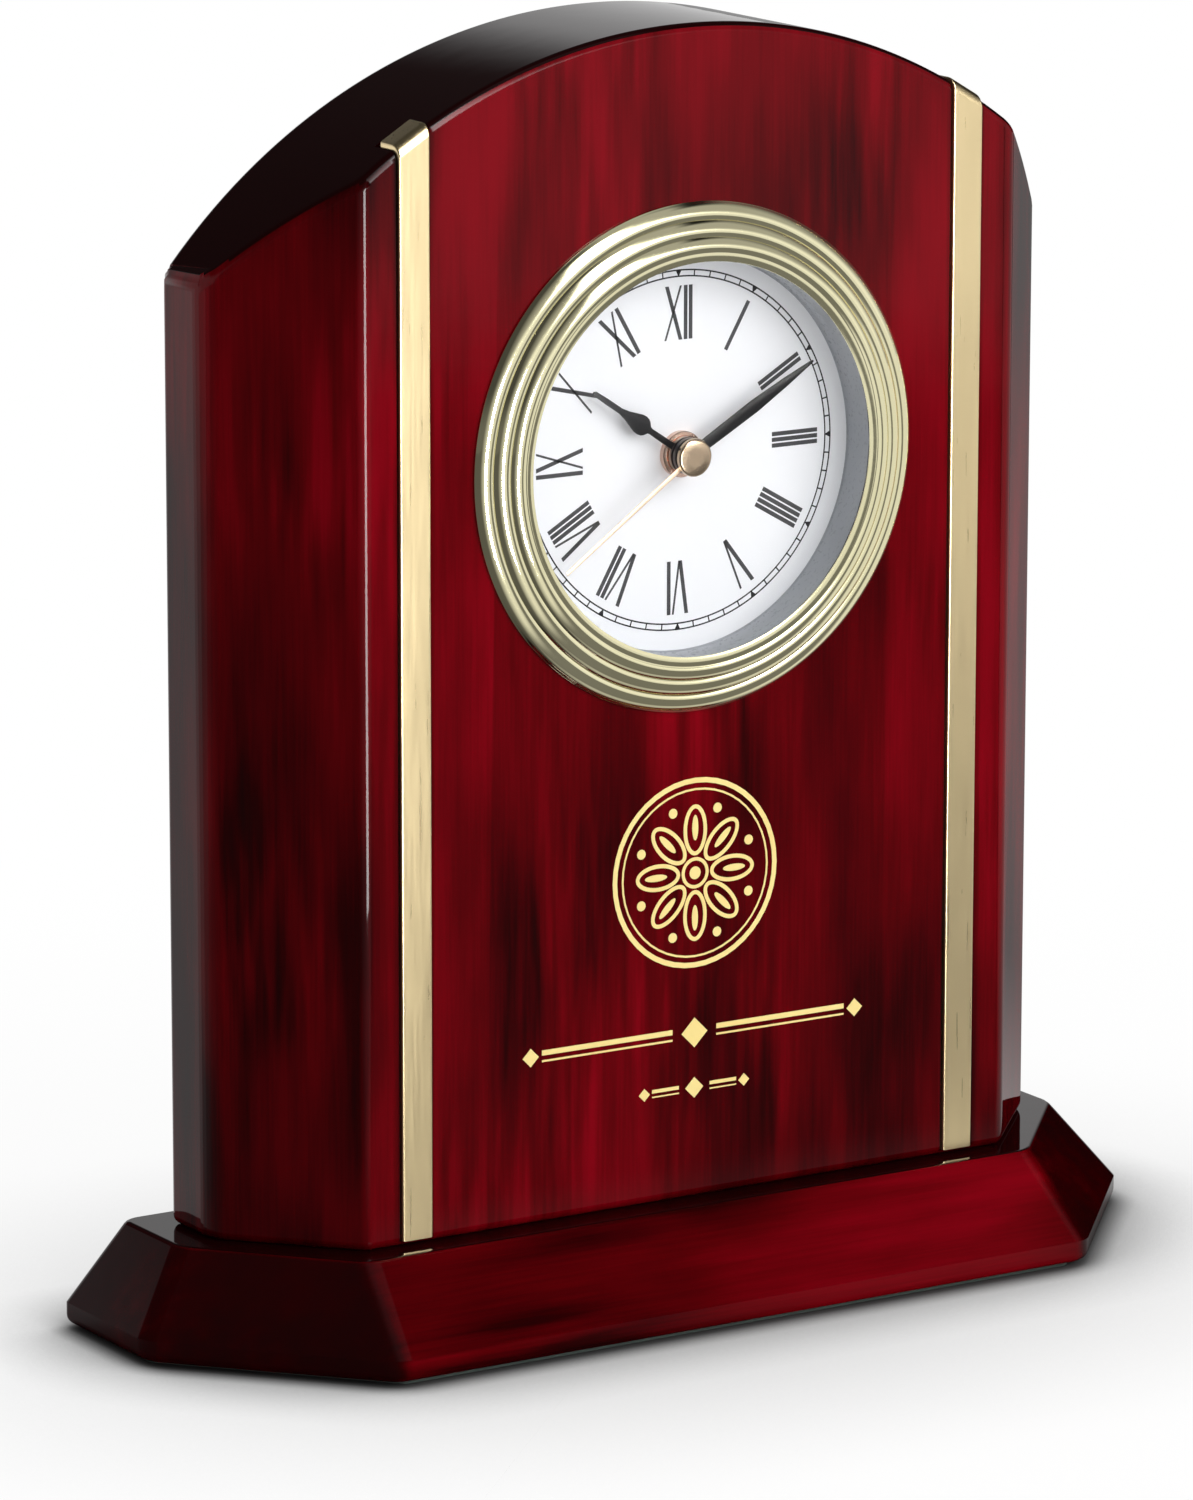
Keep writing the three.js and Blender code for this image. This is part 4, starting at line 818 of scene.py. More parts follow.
class Finishes:
    """Every finish on the clock."""

    # The last numbers of the body's and the plinth's wood are painted shade: how much darker, and calmer,
    # their cants and ends get.
    body_wood = LacqueredWood("body_rosewood", Grain.UPRIGHT, (0.22, 0.18, 0.46), 0.90, 0.05, -0.08)
    # The roof finish is partly a darker top on the arch and partly painted shade for tops that get little
    # light.
    roof_wood_and_painted_shade = LacqueredWood("roof_rosewood_and_painted_shade", Grain.ACROSS, (0.7, 0.3, 0.1), 0.5, -0.27)
    plinth_wood = LacqueredWood("plinth_rosewood", Grain.ACROSS, (0.18, 0.63, 1.14), 0.85, 0.0, -0.15, 0.7)
    polished_brass = Metal("polished_brass", (0.84, 0.79, 0.52), (0.80, 0.75, 0.48), 0.05, 0.10, bump=0.01)
    satin_brass = Metal(
        "satin_brass", (0.77, 0.62, 0.355), (0.74, 0.595, 0.34), 0.27, 0.33, (1800.0, 1800.0, 60.0), 0.02
    )
    copper_brass = Metal("copper_brass", (0.66, 0.47, 0.38), (0.58, 0.40, 0.32), 0.18, 0.28, bump=0.02)
    cap_brass = Metal("cap_brass", (0.47, 0.36, 0.25), (0.45, 0.345, 0.24), 0.22, 0.24, bump=0.005)
    hand_gold = Metal("hand_gold", (0.71, 0.55, 0.41), (0.68, 0.52, 0.38), 0.42, 0.46, bump=0.02)
    screw_steel = Metal("screw_steel", (0.55, 0.55, 0.56), (0.45, 0.45, 0.47), 0.3, 0.5)
    motor_steel = Metal("motor_steel", (0.60, 0.60, 0.62), (0.50, 0.50, 0.52), 0.28, 0.45)
    reflector = Plastic("pale_grey_plastic", (0.40, 0.42, 0.45), (0.37, 0.39, 0.42), 0.25, 0.35, bump=0.03)
    insert_cup = Plastic("grey_plastic", (0.20, 0.20, 0.21), (0.16, 0.16, 0.17), 0.4, 0.55)
    dial_paint = Plastic(
        "white_dial", (0.945, 0.955, 0.985), (0.935, 0.945, 0.975), 0.4, 0.5, bump=0.02, shine=0.1
    )
    dial_ink = Plastic(
        "dial_ink", (0.085, 0.085, 0.088), (0.07, 0.07, 0.073), 0.6, 0.7, bump=0.02, shine=0.05
    )
    track_ink = Plastic(
        "track_ink", (0.03, 0.03, 0.032), (0.02, 0.02, 0.022), 0.6, 0.7, bump=0.02, shine=0.05
    )
    hand_paint = Plastic(
        "black_hand", (0.010, 0.010, 0.011), (0.016, 0.016, 0.017), 0.3, 0.4, bump=0.03, shine=0.2
    )
    gold_ink = Plastic("gold_ink", (0.96, 0.78, 0.30), (0.93, 0.73, 0.26), 0.3, 0.45, bump=0.1)
    black_plastic = Plastic(
        "black_plastic", (0.018, 0.018, 0.019), (0.028, 0.028, 0.03), 0.35, 0.55, bump=0.3
    )
    black_rubber = Plastic("black_rubber", (0.02, 0.02, 0.02), (0.03, 0.03, 0.03), 0.6, 0.8)
    nylon = Plastic("nylon", (0.80, 0.79, 0.74), (0.72, 0.71, 0.66), 0.3, 0.45)
    board = Plastic("board_green", (0.02, 0.12, 0.05), (0.03, 0.16, 0.07), 0.3, 0.5)
    felt = Plastic("felt", (0.02, 0.035, 0.028), (0.03, 0.05, 0.04), 0.9, 1.0, 2600.0, 0.8)
    winding = Banded("copper_winding", (0.62, 0.22, 0.10), (0.45, 0.14, 0.06), 22000.0, 0.8, 0.25, 0.4)
    battery = Banded("battery_jacket", (0.16, 0.22, 0.30), (0.55, 0.56, 0.58), 125.0, 0.6, 0.3, 0.4)
    glass = Glass("clear_glass")

    by_slot: dict[str, Finish] = {
        "lacquered_wood": body_wood,
        "felt": felt,
        "screw_steel": screw_steel,
        "satin_brass": satin_brass,
        "polished_brass": polished_brass,
        "clear_glass": glass,
        "black_rubber": black_rubber,
        "pale_grey_plastic": reflector,
        "white_dial": dial_paint,
        "grey_plastic": insert_cup,
        "copper_tone_brass": copper_brass,
        "black_hand": hand_paint,
        "black_plastic": black_plastic,
        "nylon": nylon,
        "motor_steel": motor_steel,
        "copper_winding": winding,
        "board_green": board,
        "battery_jacket": battery,
    }


def paint_wood_shade(obj: Piece, upward: float, above: float = 0.0) -> None:
    """Paints shade on a wooden piece: notes at each vertex how far it faces sideways, for painted shade on
    its cants and ends, and gives its top the darker roof finish, which is partly painted shade.

    Args:
        obj: The piece.
        upward: The least upward part of the normals of the top's faces.
        above: The least height of the top's faces, in metres.
    """
    mark = obj.data.attributes.new(SIDE_SHADE_MASK, "FLOAT", "POINT")
    for vert in obj.data.vertices:
        share = min(1.0, max(0.0, (abs(vert.normal.x) - SIDE_SHADE_FROM) / SIDE_SHADE_OVER))
        mark.data[vert.index].value = share * share * (3.0 - 2.0 * share)
    obj.data.materials.append(Finishes.roof_wood_and_painted_shade.material())
    for face in obj.data.polygons:
        if face.normal.z > upward and face.center.z > above:
            face.material_index = 1


# The clock


@dataclass
class Arch:
    """The body's arched top."""

    top: float = 218.0
    radius: float = 106.59
    half_width: float = 82.5
    shoulder: float = 5.0

    def height(self, x: float) -> float:
        """Gives the height of the arch at a distance from the middle."""
        return self.top - self.radius + math.sqrt(self.radius**2 - x**2)

    def shoulder_start(self) -> float:
        """Gives how far from the middle the arch starts to round off into the side."""
        return (self.half_width - self.shoulder) * self.radius / (self.radius - self.shoulder)

    def rounded_height(self, x: float) -> float:
        """Gives the height of the arch with its shoulders rounded off into the sides.

        Args:
            x: The distance from the middle.

        Returns:
            The height.
        """
        if abs(x) <= self.shoulder_start():
            return self.height(x)
        reach = self.half_width - self.shoulder
        centre = self.top - self.radius + math.sqrt((self.radius - self.shoulder) ** 2 - reach**2)
        return centre + math.sqrt(max(0.0, self.shoulder**2 - (abs(x) - reach) ** 2))

    def slope(self, x: float) -> float:
        """Gives the fall of the arch at a distance from the middle, in radians."""
        return math.asin(x / self.radius)


@dataclass
class CaseBody:
    """The arched body, with its bore, its back recess and the strips' grooves."""

    half_width: float = 82.5
    depth: float = 33.4
    bottom: float = 17.9
    cant: Point = (18.6, 19.8)
    front_round: float = 3.0
    side_round: float = 8.0
    back_round: float = 1.7
    rim_round: float = 1.6
    rim_angle: float = 25.0
    slices: int = 80
    shoulder_slices: tuple[float, ...] = (58.0, 65.0, 72.0, 79.0, 85.0)
    bore_radius: float = 38.5
    bore_depth: float = 9.6
    recess_half: float = 31.2
    recess_corner: float = 3.0
    recess_start: float = 9.1
    groove_inner: float = 51.1
    groove_outer: float = 57.5
    groove_depth: float = 1.2
    groove_start: float = 18.9
    notch_depth: float = 6.7
    notch_rise: float = 20.0
    past: float = 5.0
    eased: float = 0.18
    sharp_angle: float = 50.0
    roof_upward: float = 0.5
    roof_above: float = 0.15
    arch: Arch = field(default_factory=Arch)

    def blank(self) -> BMesh:
        """Makes the body's outside with its rounded edges.

        Returns:
            The mesh in millimetres.
        """
        bm = bmesh.new()
        plan = canted_plan(self.half_width, FRONT, FRONT + self.depth, self.cant)
        outline = [Vector((x, y, self.bottom)) for x, y in plan]
        add_prism(bm, outline, Vector((0.0, 0.0, self.arch.top - self.bottom)))
        bmesh.ops.recalc_face_normals(bm, faces=bm.faces)
        turn = math.atan2(self.cant[1], self.cant[0])
        front_reach = self.front_round * math.tan(turn / 2)
        side_reach = self.side_round * math.tan((math.pi / 2 - turn) / 2)
        self.round_uprights(bm, (self.half_width - self.cant[0], 0.0), front_reach, 5)
        self.round_uprights(bm, (self.half_width, self.cant[1]), side_reach, 6)
        self.round_uprights(bm, (self.half_width, self.depth), self.back_round, 4)
        start = self.arch.shoulder_start()
        places = [start * (2 * index / self.slices - 1) for index in range(self.slices + 1)]
        for degrees in self.shoulder_slices:
            reach = self.half_width - self.arch.shoulder * (1 - math.sin(math.radians(degrees)))
            places += [reach, -reach]
        for x in places:
            whole = bm.verts[:] + bm.edges[:] + bm.faces[:]
            place = (x, 0.0, 0.0)
            bmesh.ops.bisect_plane(bm, geom=whole, dist=0.002, plane_co=place, plane_no=(1.0, 0.0, 0.0))
        for vert in bm.verts:
            if vert.co.z > self.bottom + LONG:
                vert.co.z = self.arch.rounded_height(vert.co.x)
        bm.normal_update()
        round_edges(bm, [edge for edge in bm.edges if self.is_rim(edge)], self.rim_round, 5)
        return bm

    def is_rim(self, edge: BMEdge) -> bool:
        """Tells whether an edge parts an upright wall from the roof or the foot.

        Args:
            edge: The edge.

        Returns:
            Whether it does.
        """
        if len(edge.link_faces) != 2 or edge.calc_face_angle() < math.radians(self.rim_angle):
            return False
        first, second = (abs(face.normal.z) < 0.001 for face in edge.link_faces)
        return first != second

    @staticmethod
    def round_uprights(bm: BMesh, place: Point, width: float, segments: int) -> None:
        """Rounds the two upright edges at a place left and right.

        Args:
            bm: The mesh.
            place: The edges' distance from the middle and their depth behind the front face.
            width: How far the rounding reaches along each face.
            segments: How many faces it has.
        """
        chosen = []
        for edge in bm.edges:
            corner = edge.verts[0].co
            here = abs(abs(corner.x) - place[0]) < NEAR and abs(corner.y - FRONT - place[1]) < NEAR
            if here and span(edge, 2) > LONG:
                chosen.append(edge)
        round_edges(bm, chosen, width, segments)

    def bore(self) -> BMesh:
        """Makes the cutter of the round bore.

        Returns:
            The cutter.
        """
        bm = bmesh.new()
        bmesh.ops.create_cone(
            bm,
            cap_ends=True,
            segments=160,
            radius1=self.bore_radius,
            radius2=self.bore_radius,
            depth=2 * self.bore_depth,
            matrix=Matrix.Translation(axis_point()) @ Matrix.Rotation(math.pi / 2, 4, "X"),
        )
        return bm

    def recess(self) -> BMesh:
        """Makes the cutter of the square back recess.

        Returns:
            The cutter.
        """
        back = self.depth + self.past
        middle = axis_point((self.recess_start + back) / 2)
        bm = box(middle, (2 * self.recess_half, back - self.recess_start, 2 * self.recess_half))
        round_edges(bm, [edge for edge in bm.edges if span(edge, 1) > LONG], self.recess_corner, 5)
        return bm

    def groove(self, side: int) -> list[BMesh]:
        """Makes the cutters of one strip's groove: its upright run and its notch over the arch.

        Args:
            side: -1 for the left groove, 1 for the right one.

        Returns:
            The two cutters.
        """
        middle = side * (self.groove_inner + self.groove_outer) / 2
        width = self.groove_outer - self.groove_inner
        height = self.arch.top + self.past - self.groove_start
        foot = Vector((middle, FRONT, self.groove_start + height / 2))
        run = box(foot, (width, 2 * self.groove_depth, height))
        lean = self.arch.slope(middle)
        lift = Vector((0.0, 0.0, self.notch_rise / 2 - self.groove_depth))
        notch = box(lift, (width / math.cos(lean), 2 * self.notch_depth, self.notch_rise))
        for vert in notch.verts:
            along = vert.co.x * math.cos(lean)
            vert.co = Vector((along, vert.co.y, vert.co.z / math.cos(lean) - math.tan(lean) * along))
        roof = Vector((middle, FRONT, self.arch.height(middle)))
        bmesh.ops.translate(notch, vec=roof, verts=notch.verts)
        return [run, notch]

    def build(self) -> None:
        """Makes the body and gives it its finish."""
        obj = finished("case_body_wood", self.blank(), Finishes.body_wood)
        for cutter in [self.bore(), self.recess(), *self.groove(-1), *self.groove(1)]:
            cut(obj, cutter)
        smooth(obj, self.sharp_angle)
        # Painted shade: darker cants and ends, and the darker roof finish on the arch's top.
        paint_wood_shade(obj, self.roof_upward, self.roof_above)
        edge = obj.modifiers.new("eased_edges", "BEVEL")
        edge.width = self.eased * MM
        edge.segments = 2
        edge.limit_method = "ANGLE"
        edge.angle_limit = math.radians(self.sharp_angle)
        edge.use_clamp_overlap = True
        hold_faces(obj, False)
        hand_over(obj, "case", "lacquered_wood", "case_body")


@dataclass
class Plinth:
    """The bevelled plinth under the body."""

    bottom: float = 0.8
    band_top: float = 4.7
    top: float = 17.9
    foot_half: float = 98.5
    foot_front: float = -30.8
    foot_back: float = 30.8
    foot_cant: Point = (29.7, 32.9)
    top_half: float = 88.4
    top_front: float = -16.5
    top_back: float = 28.2
    top_cant: Point = (21.9, 24.6)
    edge_round: float = 1.7
    top_round: float = 0.6
    corner_round: float = 2.4
    top_upward: float = 0.9

    def build(self) -> None:
        """Makes the plinth and gives it its finish."""
        bm = bmesh.new()
        foot = canted_plan(self.foot_half, self.foot_front, self.foot_back, self.foot_cant)
        shoulder = canted_plan(self.top_half, self.top_front, self.top_back, self.top_cant)
        face = bm.faces.new([bm.verts.new((x, y, self.bottom)) for x, y in foot])
        for height, plan in ((self.band_top, foot), (self.top, shoulder)):
            pushed = bmesh.ops.extrude_face_region(bm, geom=[face])["geom"]
            face = next(item for item in pushed if isinstance(item, bmesh.types.BMFace))
            for vert in face.verts:
                index = min(range(6), key=lambda corner: math.dist(vert.co.xy, foot[corner]))
                vert.co = Vector((*plan[index], height))
        bmesh.ops.holes_fill(bm, edges=[edge for edge in bm.edges if edge.is_boundary])
        bmesh.ops.recalc_face_normals(bm, faces=bm.faces)
        round_edges(bm, [edge for edge in bm.edges if span(edge, 2) > LONG], self.corner_round, 5)
        bm.normal_update()
        level = [edge for edge in bm.edges if self.is_level(edge)]
        high = [edge for edge in level if edge.verts[0].co.z > self.top - LONG]
        low = [edge for edge in level if edge.verts[0].co.z <= self.top - LONG]
        round_edges(bm, low, self.edge_round, 5)
        round_edges(bm, [edge for edge in high if edge.is_valid], self.top_round, 2)
        obj = finished("plinth_wood", bm, Finishes.plinth_wood, 45.0)
        hold_faces(obj, True)
        # Painted shade: darker cants and ends, and the near-black roof finish on the top ledge, which the
        # body keeps from the light.
        paint_wood_shade(obj, self.top_upward)
        hand_over(obj, "case", "lacquered_wood", "base_plinth")

    @staticmethod
    def is_level(edge: BMEdge) -> bool:
        """Tells whether an edge runs level between two faces that lean differently.

        Args:
            edge: The edge.

        Returns:
            Whether it does.
        """
        if span(edge, 2) >= NEAR or len(edge.link_faces) != 2:
            return False
        first, second = (face.normal.z for face in edge.link_faces)
        return abs(first - second) > 0.1


@dataclass
class BrassStrip:
    """One brass strip that is let into the front and bends back over the arch."""

    side: int
    inner: float = 51.4
    outer: float = 57.2
    proud: float = 0.6
    sunk: float = 0.9
    start: float = 18.9
    bend_back: float = 5.4
    bend_radius: float = 2.2
    bend_steps: int = 6
    edge_round: float = 0.3
    lean_from: float = 5.0
    lean_over: float = 2.5
    arch: Arch = field(default_factory=Arch)

    def side_view(self, top: float) -> list[Point]:
        """Gives the strip's outline from the side.

        Args:
            top: The height of its top.

        Returns:
            The outline's corners, front to back and up.
        """
        front = FRONT - self.proud
        inside = FRONT + self.sunk
        end = FRONT + self.bend_back
        under = top - self.proud - self.sunk
        outline = [(front, self.start)]
        for step in range(self.bend_steps + 1):
            turn = math.pi / 2 * step / self.bend_steps
            back = self.bend_radius * (1 - math.cos(turn))
            down = self.bend_radius * (1 - math.sin(turn))
            outline.append((front + back, top - down))
        return outline + [(end, top), (end, under), (inside, under), (inside, self.start)]

    def build(self) -> None:
        """Makes the strip, leans its top with the arch and gives it its finish."""
        bm = bmesh.new()
        middle = (self.inner + self.outer) / 2
        width = self.outer - self.inner
        top = self.arch.height(middle) + self.proud
        outline = [Vector((self.side * middle - width / 2, y, z)) for y, z in self.side_view(top)]
        add_prism(bm, outline, Vector((width, 0.0, 0.0)))
        bmesh.ops.recalc_face_normals(bm, faces=bm.faces)
        round_edges(bm, [edge for edge in bm.edges if span(edge, 0) < NEAR], self.edge_round, 3)
        for vert in bm.verts:
            share = min(1.0, max(0.0, (vert.co.z - top + self.lean_from) / self.lean_over))
            vert.co.z += (self.arch.height(vert.co.x) - self.arch.height(middle)) * share
        side_name = "left" if self.side < 0 else "right"
        obj = finished(f"brass_strip_{side_name}_satin", bm, Finishes.satin_brass)
        hold_faces(obj, True)
        hand_over(obj, "case", "satin_brass", f"brass_strip_{side_name}")


@dataclass
class Bezel:
    """The polished bezel: three rounded beads and a lip round the lens."""

    foot: tuple[Point, ...] = ((42.85, 0.0), (43.0, -0.12), (43.0, -0.4))
    beads: tuple[Point, ...] = ((42.9, -0.5), (40.05, -1.55), (37.3, -2.5), (34.75, -3.15))
    lip: tuple[Point, ...] = ((34.6, -3.2), (33.45, -2.98), (33.25, -2.94), (33.2, -2.85), (33.2, -2.82))
    seat: tuple[Point, ...] = ((35.3, -2.82), (35.3, 0.0))
    bulge: float = 38.0
    steps: int = 12

    def build(self) -> None:
        """Makes the bezel and gives it its finish."""
        profile = list(self.foot)
        for start, end in zip(self.beads, self.beads[1:]):
            profile += bead_points(start, end, self.bulge, self.steps)
        bm = bmesh.new()
        add_ring(bm, profile + list(self.lip + self.seat), 192)
        obj = finished("bezel_polished", bm, Finishes.polished_brass, 42.0)
        hand_over(obj, "case", "polished_brass", "bezel_ring")


@dataclass
class Reflector:
    """The pale wall between the lens and the dial."""

    upper: tuple[Point, ...] = ((33.9, -1.2), (33.8, -1.0), (33.8, 2.2))
    lower: tuple[Point, ...] = ((33.68, 2.4), (33.68, 6.7), (33.4, 7.0))
    outside: tuple[Point, ...] = ((34.9, 7.0), (34.9, -1.2))

    def build(self) -> None:
        """Makes the wall and gives it its finish."""
        bm = bmesh.new()
        add_ring(bm, list(self.upper + self.lower + self.outside), 160)
        obj = finished("reflector_wall", bm, Finishes.reflector, 35.0)
        hand_over(obj, "case", "pale_grey_plastic", "reflector_ring")


class Stroke(Enum):
    """How wide a stroke of a numeral is, in millimetres."""

    THICK = 0.72
    THIN = 0.38


@dataclass
class Dial:
    """The white dial with its minute track and Roman numerals."""

    face: float = 7.0
    bore: float = 3.4
    radius: float = 35.2
    thickness: float = 0.6
    ink: float = 0.02
    track_inner: Point = (29.25, 29.5)
    track_outer: Point = (30.28, 30.53)
    tick: float = 0.12
    mark: float = 0.62
    numeral_base: float = 18.7
    numeral_height: float = 9.1
    print_shift: Point = (-0.35, 0.5)
    pitch: float = 0.98
    v_width: float = 3.25
    v_lap: float = 0.18
    x_width: float = 3.55
    x_ends: Point = (0.1, 0.15)
    numerals: tuple[str, ...] = ("XII", "I", "II", "III", "IIII", "V", "VI", "VII", "VIII", "IX", "X", "XI")

    def add_print(self, bm: BMesh, outline: list[Point], hour_angle: float) -> None:
        """Adds a printed shape with a hair's thickness.

        Args:
            bm: The mesh it is added to.
            outline: Its corners, right and outwards as they stand at twelve.
            hour_angle: Its place, in degrees clockwise from twelve.
        """
        middle = axis_point(self.face) + Vector((self.print_shift[0], 0.0, self.print_shift[1]))
        place = Matrix.Translation(middle) @ Matrix.Rotation(math.radians(hour_angle), 4, "Y")
        corners = [place @ Vector((x, 0.0, z)) for x, z in outline]
        add_prism(bm, corners, Vector((0.0, -self.ink, 0.0)))

    def stroke(self, foot: float, head: float, width: Stroke) -> list[Point]:
        """Gives one stroke of a numeral with level ends.

        Args:
            foot: Where its middle stands at the base.
            head: Where its middle ends at the top.
            width: How wide it is.

        Returns:
            Its four corners.
        """
        half = width.value / 2
        low = self.numeral_base
        high = low + self.numeral_height
        return [(foot - half, low), (foot + half, low), (head + half, high), (head - half, high)]

    def glyph(self, letter: str, left: float) -> tuple[list[list[Point]], float]:
        """Gives the strokes of one letter of a numeral.

        Args:
            letter: I, V or X.
            left: Where the letter starts.

        Returns:
            The strokes and the letter's width.
        """
        thick = left + Stroke.THICK.value / 2
        thin = Stroke.THIN.value / 2
        if letter == "I":
            return [self.stroke(thick, thick, Stroke.THICK)], Stroke.THICK.value
        if letter == "V":
            foot = left + self.v_width / 2
            right = left + self.v_width - thin
            strokes = [
                self.stroke(foot, thick, Stroke.THICK),
                self.stroke(foot + self.v_lap, right, Stroke.THIN),
            ]
            return strokes, self.v_width
        right = left + self.x_width
        strokes = [
            self.stroke(right - Stroke.THICK.value / 2, thick + self.x_ends[0], Stroke.THICK),
            self.stroke(left + thin, right - thin - self.x_ends[1], Stroke.THIN),
        ]
        return strokes, self.x_width

    def numeral(self, text: str) -> list[list[Point]]:
        """Gives the strokes of a whole numeral.

        Args:
            text: The numeral.

        Returns:
            Its strokes, centred.
        """
        strokes: list[list[Point]] = []
        gap = self.pitch - Stroke.THICK.value
        left = 0.0
        for letter in text:
            parts, width = self.glyph(letter, left)
            strokes += parts
            left += width + gap
        middle = (left - gap) / 2
        return [[(x - middle, z) for x, z in part] for part in strokes]

    def build(self) -> None:
        """Makes the dial, its track and its numerals."""
        plate = bmesh.new()
        add_ring(plate, flat_ring(self.bore, self.radius, self.face, self.face + self.thickness), 128)
        obj = finished("dial_white", plate, Finishes.dial_paint, 35.0)
        hand_over(obj, "case", "white_dial", "dial_plate")
        track = bmesh.new()
        for inner, outer in (self.track_inner, self.track_outer):
            add_ring(track, flat_ring(inner, outer, self.face, self.face - self.ink), 180)
        bmesh.ops.translate(track, vec=(self.print_shift[0], 0.0, self.print_shift[1]), verts=track.verts)
        low, high = self.track_inner[0], self.track_outer[1]
        tick = [(-self.tick, low), (self.tick, low), (self.tick, high), (-self.tick, high)]
        mark = [(0.0, low), (self.mark, high), (-self.mark, high)]
        for minute in range(60):
            self.add_print(track, tick if minute % 5 else mark, 6.0 * minute)
        obj = finished("minute_track", track, Finishes.track_ink, 35.0)
        hand_over(obj, "case", "white_dial")
        figures = bmesh.new()
        for hour, text in enumerate(self.numerals):
            for part in self.numeral(text):
                self.add_print(figures, part, 30.0 * hour)
        obj = finished("hour_numerals", figures, Finishes.dial_ink, 35.0)
        hand_over(obj, "case", "white_dial")


@dataclass
class Hand:
    """One hand: a hub and a flat blade, pointing to its place at rest.

    The half widths give how far out each place of the blade is and half its width there, the blade the
    depths of its front and back, and the hub a profile of radii and depths.
    """

    name: str
    node: str
    body: str
    slot: str
    finish: Finish
    angle: float
    half_widths: list[Point]
    blade: Point
    hub: list[Point]
    ease: float = 0.08

    def build(self) -> None:
        """Makes the hand and gives it its finish."""
        bm = bmesh.new()
        right = [(width, reach) for reach, width in self.half_widths]
        left = [(-width, reach) for width, reach in reversed(right)]
        turn = Matrix.Translation(axis_point()) @ Matrix.Rotation(math.radians(self.angle), 4, "Y")
        outline = [turn @ Vector((x, self.blade[1], z)) for x, z in right + left]
        add_prism(bm, outline, Vector((0.0, self.blade[0] - self.blade[1], 0.0)))
        bmesh.ops.recalc_face_normals(bm, faces=bm.faces)
        front = FRONT + self.blade[0]
        rims = [edge for edge in bm.edges if all(abs(vert.co.y - front) < 0.001 for vert in edge.verts)]
        round_edges(bm, rims, self.ease, 2)
        add_ring(bm, self.hub, 48)
        hand_over(finished(self.name, bm, self.finish), self.body, self.slot, self.node)


def make_hands() -> list[Hand]:
    """Gives the three hands with their outlines.

    Returns:
        The hour hand, the minute hand and the second hand.
    """
    bulb = [(2.6, 0.6), (8.2, 0.5), (8.7, 0.62), (9.2, 1.2), (9.7, 1.55), (10.4, 1.7), (11.2, 1.62)]
    point = [(12.4, 1.25), (13.8, 0.8), (15.4, 0.5), (18.6, 0.5), (21.4, 0.4), (21.8, 0.12)]
    hour = Hand(
        "hour_hand_black",
        "hour_hand",
        "hour_pipe",
        "black_hand",
        Finishes.hand_paint,
        304.0,
        bulb + point,
        (4.4, 4.8),
        [(2.42, 4.1), (2.52, 4.0), (3.0, 4.0), (3.1, 4.1), (3.1, 5.2), (2.42, 5.2)],
    )
    minute = Hand(
        "minute_hand_black",
        "minute_hand",
        "minute_arbor",
        "black_hand",
        Finishes.hand_paint,
        60.4,
        [(2.4, 1.0), (8.0, 1.08), (15.0, 1.15), (22.0, 0.75), (27.8, 0.24), (28.2, 0.1)],
        (2.6, 3.0),
        [(1.62, 2.3), (1.72, 2.2), (3.0, 2.2), (3.1, 2.3), (3.1, 3.4), (1.62, 3.4)],
    )
    second = Hand(
        "second_hand_gold",
        "second_hand",
        "second_arbor",
        "satin_brass",
        Finishes.hand_gold,
        235.0,
        [(1.2, 0.42), (29.9, 0.36), (30.2, 0.30)],
        (1.35, 1.6),
        [(0.5, 1.3), (1.5, 1.3), (1.6, 1.4), (1.6, 1.6), (0.5, 1.6)],
        0.05,
    )
    return [hour, minute, second]


@dataclass
class CentreFittings:
    """The nut under the hands and the cap over them."""

    nut: tuple[Point, ...] = ((3.1, 7.0), (3.1, 5.6), (3.2, 5.5), (3.75, 5.5), (3.9, 5.65), (3.9, 7.0))
    cap_rim: tuple[Point, Point] = ((3.25, 0.75), (2.75, 0.2))
    cap_face: tuple[Point, ...] = ((1.4, 0.2), (0.02, 0.2), (0.02, 1.3))
    cap_back: Point = (3.25, 1.3)

    def build(self) -> None:
        """Makes the fittings and gives them their finishes."""
        nut = bmesh.new()
        add_ring(nut, list(self.nut), 72)
        obj = finished("mounting_nut_copper", nut, Finishes.copper_brass)
        hand_over(obj, "case", "copper_tone_brass", "mounting_nut")
        cap = bmesh.new()
        add_ring(cap, [self.cap_back, *bead_points(*self.cap_rim, 40.0, 4), *self.cap_face], 72)
        obj = finished("second_hand_cap_brass", cap, Finishes.cap_brass, 35.0)
        hand_over(obj, "second_arbor", "polished_brass", "second_hand_cap")


